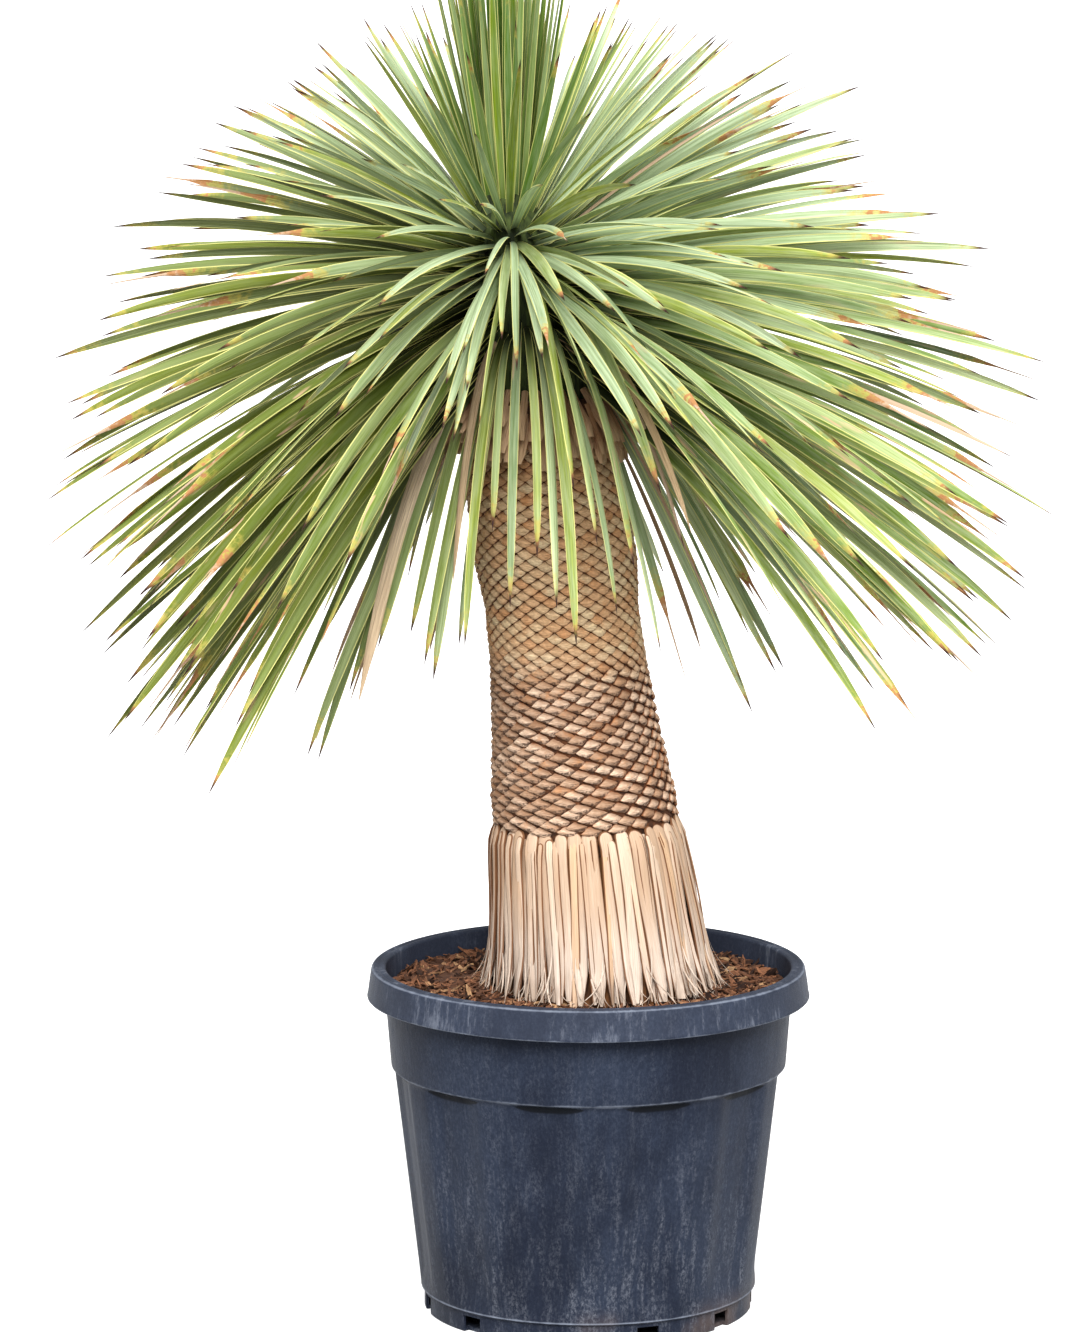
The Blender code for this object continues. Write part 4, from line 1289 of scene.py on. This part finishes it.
def open_leaf(i, draw):
    """One leaf of the open head: the older it is, the lower, the longer and the further over."""
    azimuth = i * GOLDEN_ANGLE + draw.uniform(-0.10, 0.10)
    age = age_of(i + 0.5)
    front = max(0.0, math.cos(azimuth - FRONT)) ** 3
    to_right = math.cos(azimuth)
    polar = FIRST_POLAR + MORE_POLAR * age**0.85 - LESS_IN_FRONT * front * age**2
    polar = math.radians(polar + draw.uniform(-3, 3))
    polar += FRONT_DROOP * front * min(1.0, age / 0.2) * (1 - age) ** 0.7
    polar += (RIGHT_DROOP if to_right > 0 else LEFT_DROOP) * to_right**2 * age**1.5
    share = TUFT_ROOT - STEM_SHARE * age
    length = LEAF_LENGTHS[0] + (LEAF_LENGTHS[1] - LEAF_LENGTHS[0]) * min(1.0, age / 0.62)
    reach = 1 - LEFT_SHORTER * max(0.0, -to_right)
    lean = UP.rotation_difference(TUFT_TILT.lerp(UP, age))
    leaf = Blade(
        root=head_axis(share) + (head_radius(share) - ROOT_SINK) * level(azimuth),
        direction=lean @ aim(azimuth, polar),
        length=length * draw.uniform(0.88, 1.06) * reach,
        sag=0.05 + 0.17 * math.sin(polar) * age**0.5 + draw.uniform(-0.02, 0.05) + 0.1 * front * age,
        side=level_side(azimuth),
        width=LEAF_WIDTH * draw.uniform(0.9, 1.1) * (0.74 + 0.26 * min(1.0, age / 0.4)),
        roll=draw.choice((-1, 1)) * draw.uniform(*LEAF_ROLL) * min(1.0, 0.3 + 2 * age),
        spin=draw.uniform(-0.6, 0.6),
    )
    while crosses_trunk(leaf):
        polar -= LIFT_STEP
        leaf = leaf._replace(direction=lean @ aim(azimuth, polar))
    return leaf


# %% Room for the trunk
def off_trunk(leaf, along):
    """Height above the mix and way from the plant's middle at shares of the leaf's length."""
    middle, _, _ = blade_frame(leaf, along)
    height = middle[:, 2] - MIX_TOP
    return height, middle - plant_axis(height)


def crosses_trunk(leaf):
    """Whether the leaf comes down into the room that the trunk and the collar take."""
    height, away = off_trunk(leaf, np.arange(2, 21) / 20)
    return bool(np.any((height < TRUNK_ROOM_TOP) & (np.linalg.norm(away, axis=1) < TRUNK_ROOM)))


def hides_trunk(leaf):
    """Whether the leaf's outer half hangs before the trunk, where only chosen leaves do."""
    height, away = off_trunk(leaf, np.arange(4, 11) / 10)
    return bool(np.any((height < BARE_TOP) & (np.abs(away[:, 0]) < BARE_HALF_WIDTH) & (away[:, 1] < 0)))


# %% Chosen leaves
CHOSEN_LEAVES = (
    (-137, -280, 804, 0.35, 300), (-127, -240, 866, 0.30, 260, 7), (-83, -270, 846, 0.40, 300, 11),
    (-34, -260, 843, 0.35, 300), (-13, -300, 809, 0.45, 320, 13.5), (26, -260, 836, 0.30, 260, 8),
    (78, -250, 790, 0.30, 280, 13), (-144, -300, 1033, 0.70, 200, 10),
    (-76, -300, 1105, 0.75, 180, 10, 0.4), (-20, -320, 981, 0.60, 260, 12, 0.6),
    (70, -350, 980, 0.65, 200, 14), (97, -350, 1066, 0.70, 160, 12, 0.4),
    (-184, -220, 774, 0.25, 120, 13), (-200, -160, 800, 0.25, 100, 12), (-235, -200, 790, 0.30, 100, 13),
    (-306, -200, 668, 0.25, 80, 14), (-330, -100, 720, 0.25, 80, 14), (-385, -200, 681, 0.25, 80, 14),
    (-422, -200, 722, 0.25, 80, 14), (-496, -150, 689, 0.25, 80, 14), (120, -160, 860, 0.25, 100, 12),
    (170, -100, 731, 0.25, 100, 13), (209, -100, 745, 0.25, 100, 13), (315, -100, 722, 0.25, 80, 14),
    (388, 0, 749, 0.25, 80, 14), (-110, -240, 925, 0.30, 260, 9, 0.7), (-58, -270, 900, 0.35, 280, 10, 0.7),
    (4, -280, 915, 0.40, 280, 9, 0.7), (50, -270, 890, 0.35, 280, 10, 0.7),
    (102, -240, 905, 0.30, 260, 11, 0.7),
    (-255, -180, 720, 0.25, 100, 14), (-300, -120, 650, 0.25, 90, 14), (-175, -200, 755, 0.25, 140, 14),
    (-140, -190, 790, 0.25, 160, 12), (178, -100, 700, 0.25, 100, 14), (-250, -50, 735, 0.25, 30, 14),
    (-293, -50, 781, 0.25, 20, 15), (-262, -50, 800, 0.25, 30, 15), (-200, -100, 850, 0.25, 100, 13),
    (180, 0, 768, 0.25, 100, 14), (150, 20, 800, 0.25, 100, 13), (222, 0, 735, 0.25, 90, 14),
    (300, 0, 775, 0.25, 80, 14), (112, -60, 722, 0.22, 100, 12), (142, -120, 800, 0.25, 100, 12),
    (168, -200, 850, 0.30, 120, 12), (-268, -160, 735, 0.25, 90, 13), (-455, -120, 735, 0.25, 80, 13),
)
CHOSEN_DRY = (
    (-254.6, -200, 731.5, 0.25, 250, 17),
    (-150, -200, 860, 0.30, 260, 10),
    (105, -300, 930, 0.40, 260, 9),
)
print("chosen leaves:", len(CHOSEN_LEAVES), "green and", len(CHOSEN_DRY), "dry")


def chosen_leaf(x, y, z, share, hang, width=11.5, age=0.5):
    """Age and blade of a leaf that grows from this share of the stem to a chosen tip. It starts out
    high enough to fall by the hang. Place, hang and width are in millimetres."""
    tip = (x / 1000, y / 1000, z / 1000)
    hang = hang / 1000
    out = ((Vector(tip) - head_axis(share)) * Vector((1, 1, 0))).normalized()
    root = head_axis(share) + (head_radius(share) - ROOT_SINK) * out
    reach = Vector(tip) - root + hang * UP
    draw = random.Random(str(tip))
    return age, Blade(
        root=root,
        direction=reach.normalized(),
        length=reach.length,
        sag=hang / reach.length,
        side=level_side(math.atan2(out.y, out.x)),
        width=width / 1000,
        roll=draw.uniform(-0.3, 0.3) + draw.choice((-1, 1)) * out.x**2,
        spin=draw.uniform(-0.5, 0.5),
    )


# %% All the leaves
EXTRA_LEAVES = 330
EXTRA_FROM = 0.12
EXTRA_SHORTER = 0.95
EXTRA_TUFT = 44
EXTRA_TUFT_WIDTH = 0.0095
EXTRA_TUFT_SHORTER = 0.96
LEAF_SEED = 7


def all_leaves():
    """Every leaf with its age: the solid's own, those set between them, and the chosen ones."""
    found = []
    for i in range(SOLID_LEAVES):
        draw = random.Random(1000 * LEAF_SEED + i)
        found.append((i, tuft_leaf(i, draw) if i < TUFT else open_leaf(i, draw)))
    for k in range(EXTRA_TUFT):
        i = TUFT * (k + 0.5) / EXTRA_TUFT
        leaf = tuft_leaf(i, random.Random(3000 * LEAF_SEED + k))
        found.append((i, leaf._replace(width=EXTRA_TUFT_WIDTH, length=EXTRA_TUFT_SHORTER * leaf.length)))
    first = TUFT + EXTRA_FROM * (SOLID_LEAVES - TUFT)
    for k in range(EXTRA_LEAVES):
        i = 0.5 + round(first + k * (SOLID_LEAVES - 3 - first) / EXTRA_LEAVES)
        leaf = open_leaf(i, random.Random(2000 * LEAF_SEED + k))
        found.append((i, leaf._replace(length=EXTRA_SHORTER * leaf.length)))
    aged = [(max(0.0, age_of(i)), leaf) for i, leaf in found if not hides_trunk(leaf)]
    return aged + [chosen_leaf(*pick) for pick in CHOSEN_LEAVES]


leaves = all_leaves()
print("leaves:", len(leaves))

# %% Leaf finish
def leaf_finish():
    """Waxy green, bluer or yellower by leaf, with fine lines, a thin yellow edge and a dry tip, pale bloom
    with painted sheen on the younger open leaves, and painted shade near the stem and on the left side.
    """
    coat = Finish("green leaf", 0.45, 0.12)
    coat.start(coat.between("tone", 0.0, 0.5), (58, 94, 26), (130, 160, 68))
    coat.lay(coat.between("tone", 0.5, 1.0), 220, 234, 170)
    # pale blue-white on the younger open leaves: their wax bloom, with painted sheen of the sky laid over
    # it
    bloom_and_sheen = coat.times(coat.between("age", 0.04, 0.12), coat.between("age", 0.7, 0.3, 0.0, 0.80))
    coat.lay(bloom_and_sheen, 218, 238, 208)
    coat.lay(coat.between("sunny", 0.0, 1.0, 0.0, 0.9), 176, 184, 48)
    lines = grain(coat, 800.0, 120.0)
    coat.lay(coat.times(lines, 0.60), 44, 74, 8)
    coat.lay(coat.times(grain(coat, 260.0, 14.0), 0.34), 230, 240, 206)
    coat.lay(coat.between("age", 0.10, 0.02, 0.0, 0.60), 76, 112, 24)
    # painted shade: leaves that point to the left are laid darker and more olive
    coat.lay(coat.between("shade", 0.05, 0.65, 0.0, 0.75), 86, 92, 16)
    coat.lay(coat.times("under", 0.35), 118, 138, 50)
    # painted shade: the inner part of each older leaf, near the stem, laid nearly black
    inner_shade = coat.maths("ADD", "along", coat.times("age", -0.34))
    coat.lay(coat.between(inner_shade, 0.20, -0.14, 0.0, 0.96), 18, 24, 10)
    coat.lay(coat.between("edge", 0.80, 0.94, 0.0, 0.88), 232, 228, 142)
    place = coat.place()
    spots = coat.use(SPECKLE, Place=place, Scale=26.0, Amount=0.16, Softness=0.05)
    coat.lay(coat.times(spots, coat.between("edge", 0.2, 0.9, 0.2, 1.0)), 152, 116, 74)
    torn = coat.between(grain(coat, 130.0, 9.0), 0.78, 0.95)
    torn = coat.times(torn, coat.between("edge", 0.1, 0.7, 0.3, 1.0))
    coat.lay(coat.times(torn, coat.between("grey_strokes", 0.3, 0.8)), 214, 178, 142)
    patches = coat.between(coat.noise(place, 120.0), 0.3, 0.7, -0.014, 0.014)
    dry = coat.maths("ADD", "dry", patches)
    coat.lay(coat.between(dry, -0.034, 0.000, 0.0, 0.7), 190, 172, 84)
    coat.lay(coat.between(dry, -0.004, 0.006), 176, 126, 82)
    coat.lay(coat.between(dry, 0.014, 0.036), 198, 170, 144)
    coat.lay(coat.between("to_tip", 0.024, 0.008), 58, 38, 34)
    coat.fill("Roughness", coat.between(dry, -0.01, 0.01, 0.45, 0.8))
    return coat.done(lines, 0.0005, 0.8)


# %% Leaf tips and ages
SHORT_DRY = (0.007, 0.024)
LONG_DRY = (0.04, 0.11)
LONG_DRY_SHARE = 0.42
DEAD = (0.20, 0.45)
DEAD_SHARE = 0.012
SLIMMER = 0.96
AGES = {"young_leaves": (-1.0, 0.3), "open_leaves": (0.3, 0.65), "old_leaves": (0.65, 2.0)}


# %% One green leaf
def leaf_rings(leaf, age, draw):
    """Rings and marks of one green leaf. Its tip is dry, and on some leaves withered to a thread."""
    along = LEAF_ALONG
    middle, _, _ = blade_frame(leaf, along)
    walk = np.concatenate([[0.0], np.cumsum(np.linalg.norm(np.diff(middle, axis=0), axis=1))])
    share = walk / walk[-1]
    length, shrink = SHORT_DRY, 0.12
    if draw.uniform() < LONG_DRY_SHARE * age:
        length, shrink = LONG_DRY, 0.72
    if draw.uniform() < DEAD_SHARE * age:
        length, shrink = DEAD, 0.50
    dry = walk - walk[-1] + draw.uniform(*length)
    tapered = 1 - 0.5 * max(0.0, 1 - age / 0.7) * soft_step((share - 0.45) / 0.55)
    half_width = 0.5 * SLIMMER * leaf.width * tapered * outline_at(LEAF_OUTLINE, share)
    half_width = half_width * (1 - shrink * soft_step(dry / 0.02))
    bend = 0.004 * np.sin(along * draw.uniform(2, 5) + draw.uniform(0, 6)) * along
    points, across = blade_rings(leaf, along, half_width, bend)
    return points, {
        "along": share,
        "run": walk,
        "across": across,
        "edge": np.abs(SECTION_ACROSS)[None],
        "under": SECTION_UNDER[None],
        "dry": dry,
        "to_tip": walk[-1] - walk,
        "tone": draw.uniform(0, 1),
        "age": age,
        "grey_strokes": age * draw.uniform(0, 1.2),
        "sunny": max(0.0, draw.uniform(-1.6, 1.0)),
        "shade": max(0.0, -leaf.direction.x) * min(1.0, 2 * age),
    }


# %% Leaves
green = leaf_finish()
for name, (first, last) in AGES.items():
    draw = np.random.default_rng(LEAF_SEED)
    made = [leaf_rings(leaf, age, draw) for age, leaf in leaves if first <= age < last]
    tubes(name, made, green, bands=4, smooth_angle=50)

pale_dry = [chosen_leaf(*pick)[1] for pick in CHOSEN_DRY]
make_dry_blades("pale_dry_leaves", pale_dry, LEAF_OUTLINE, LEAF_ALONG, hanging_dry, 33)

# %% Stem in the head
def make_stem(finish):
    """The stem that the leaves grow from, narrowing to its tip."""
    share = np.linspace(0, 1, 10)
    middle = np.array([head_axis(float(s)) for s in share])[:, None]
    radius = np.array([head_radius(s) - 0.003 for s in share])[:, None, None]
    rings = middle + radius * outward(turns(32))[None]
    return tubes("head_stem", [(rings, {})], finish)


# painted shade: the stem is laid near-black green for the shade inside the head
stem_shade = clouded_finish("stem in the head", 0.9, 0.15, 150.0, (24, 32, 14), (66, 78, 36))
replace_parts(make_stem(stem_shade), "green_leaf_head")

# %% [markdown]
# ## Studio
# The object is photographed on a white ground that the light washes out, with only a faint shadow
# under the pot. A white world lights everything evenly, a broad sun from above and in front gives
# the form, and the floor is a very large pale sheet, so that no horizon shows.

# %% Floor and light
FLOOR_SIZE = 400.0
FLOOR_GLOW = 0.42
FLOOR_Z = -0.0005
WORLD_LIGHT = 0.74
WORLD_BELOW = 0.34
KEY_LIGHT = 5.2
KEY_SOFTNESS = math.radians(38)
KEY_TURN = (math.radians(48), math.radians(3), 0.0)
WHITE = (1.0, 1.0, 1.0, 1.0)


def make_floor():
    coat = Finish("pale floor", 0.9)
    coat.start(coat.noise(coat.place(), 3.0), (250, 250, 250), (253, 253, 253))
    coat.fill("Base Color", coat.colour)
    coat.shader["Emission Color"].default_value = WHITE
    coat.shader["Emission Strength"].default_value = FLOOR_GLOW
    shape = bmesh.new()
    bmesh.ops.create_grid(shape, x_segments=4, y_segments=4, size=FLOOR_SIZE / 2)
    mesh = bpy.data.meshes.new("floor")
    shape.to_mesh(mesh)
    shape.free()
    mesh.materials.append(coat.material)
    floor = link(bpy.data.objects.new("floor", mesh))
    floor.location.z = FLOOR_Z
    floor.visible_diffuse = False


def light_world():
    """White all round, and dimmer from below."""
    world = bpy.data.worlds.new("white studio")
    bpy.context.scene.world = world
    world.use_nodes = True
    nodes = Nodes(world.node_tree)
    back = world.node_tree.nodes["Background"].inputs
    back["Color"].default_value = WHITE
    way = nodes.add("TexCoord", {})["Generated"]
    height = nodes.add("SeparateXYZ", {0: way})[2]
    nodes.tree.links.new(nodes.between(height, -0.4, 0.4, WORLD_BELOW, WORLD_LIGHT), back["Strength"])


def add_key():
    """One very soft sun from above and in front."""
    lamp = bpy.data.lights.new("key", "SUN")
    lamp.energy = KEY_LIGHT
    lamp.angle = KEY_SOFTNESS
    link(bpy.data.objects.new("key", lamp)).rotation_euler = KEY_TURN


make_floor()
light_world()
add_key()
bpy.context.scene.view_settings.view_transform = "Standard"
print("floor, world and one sun")
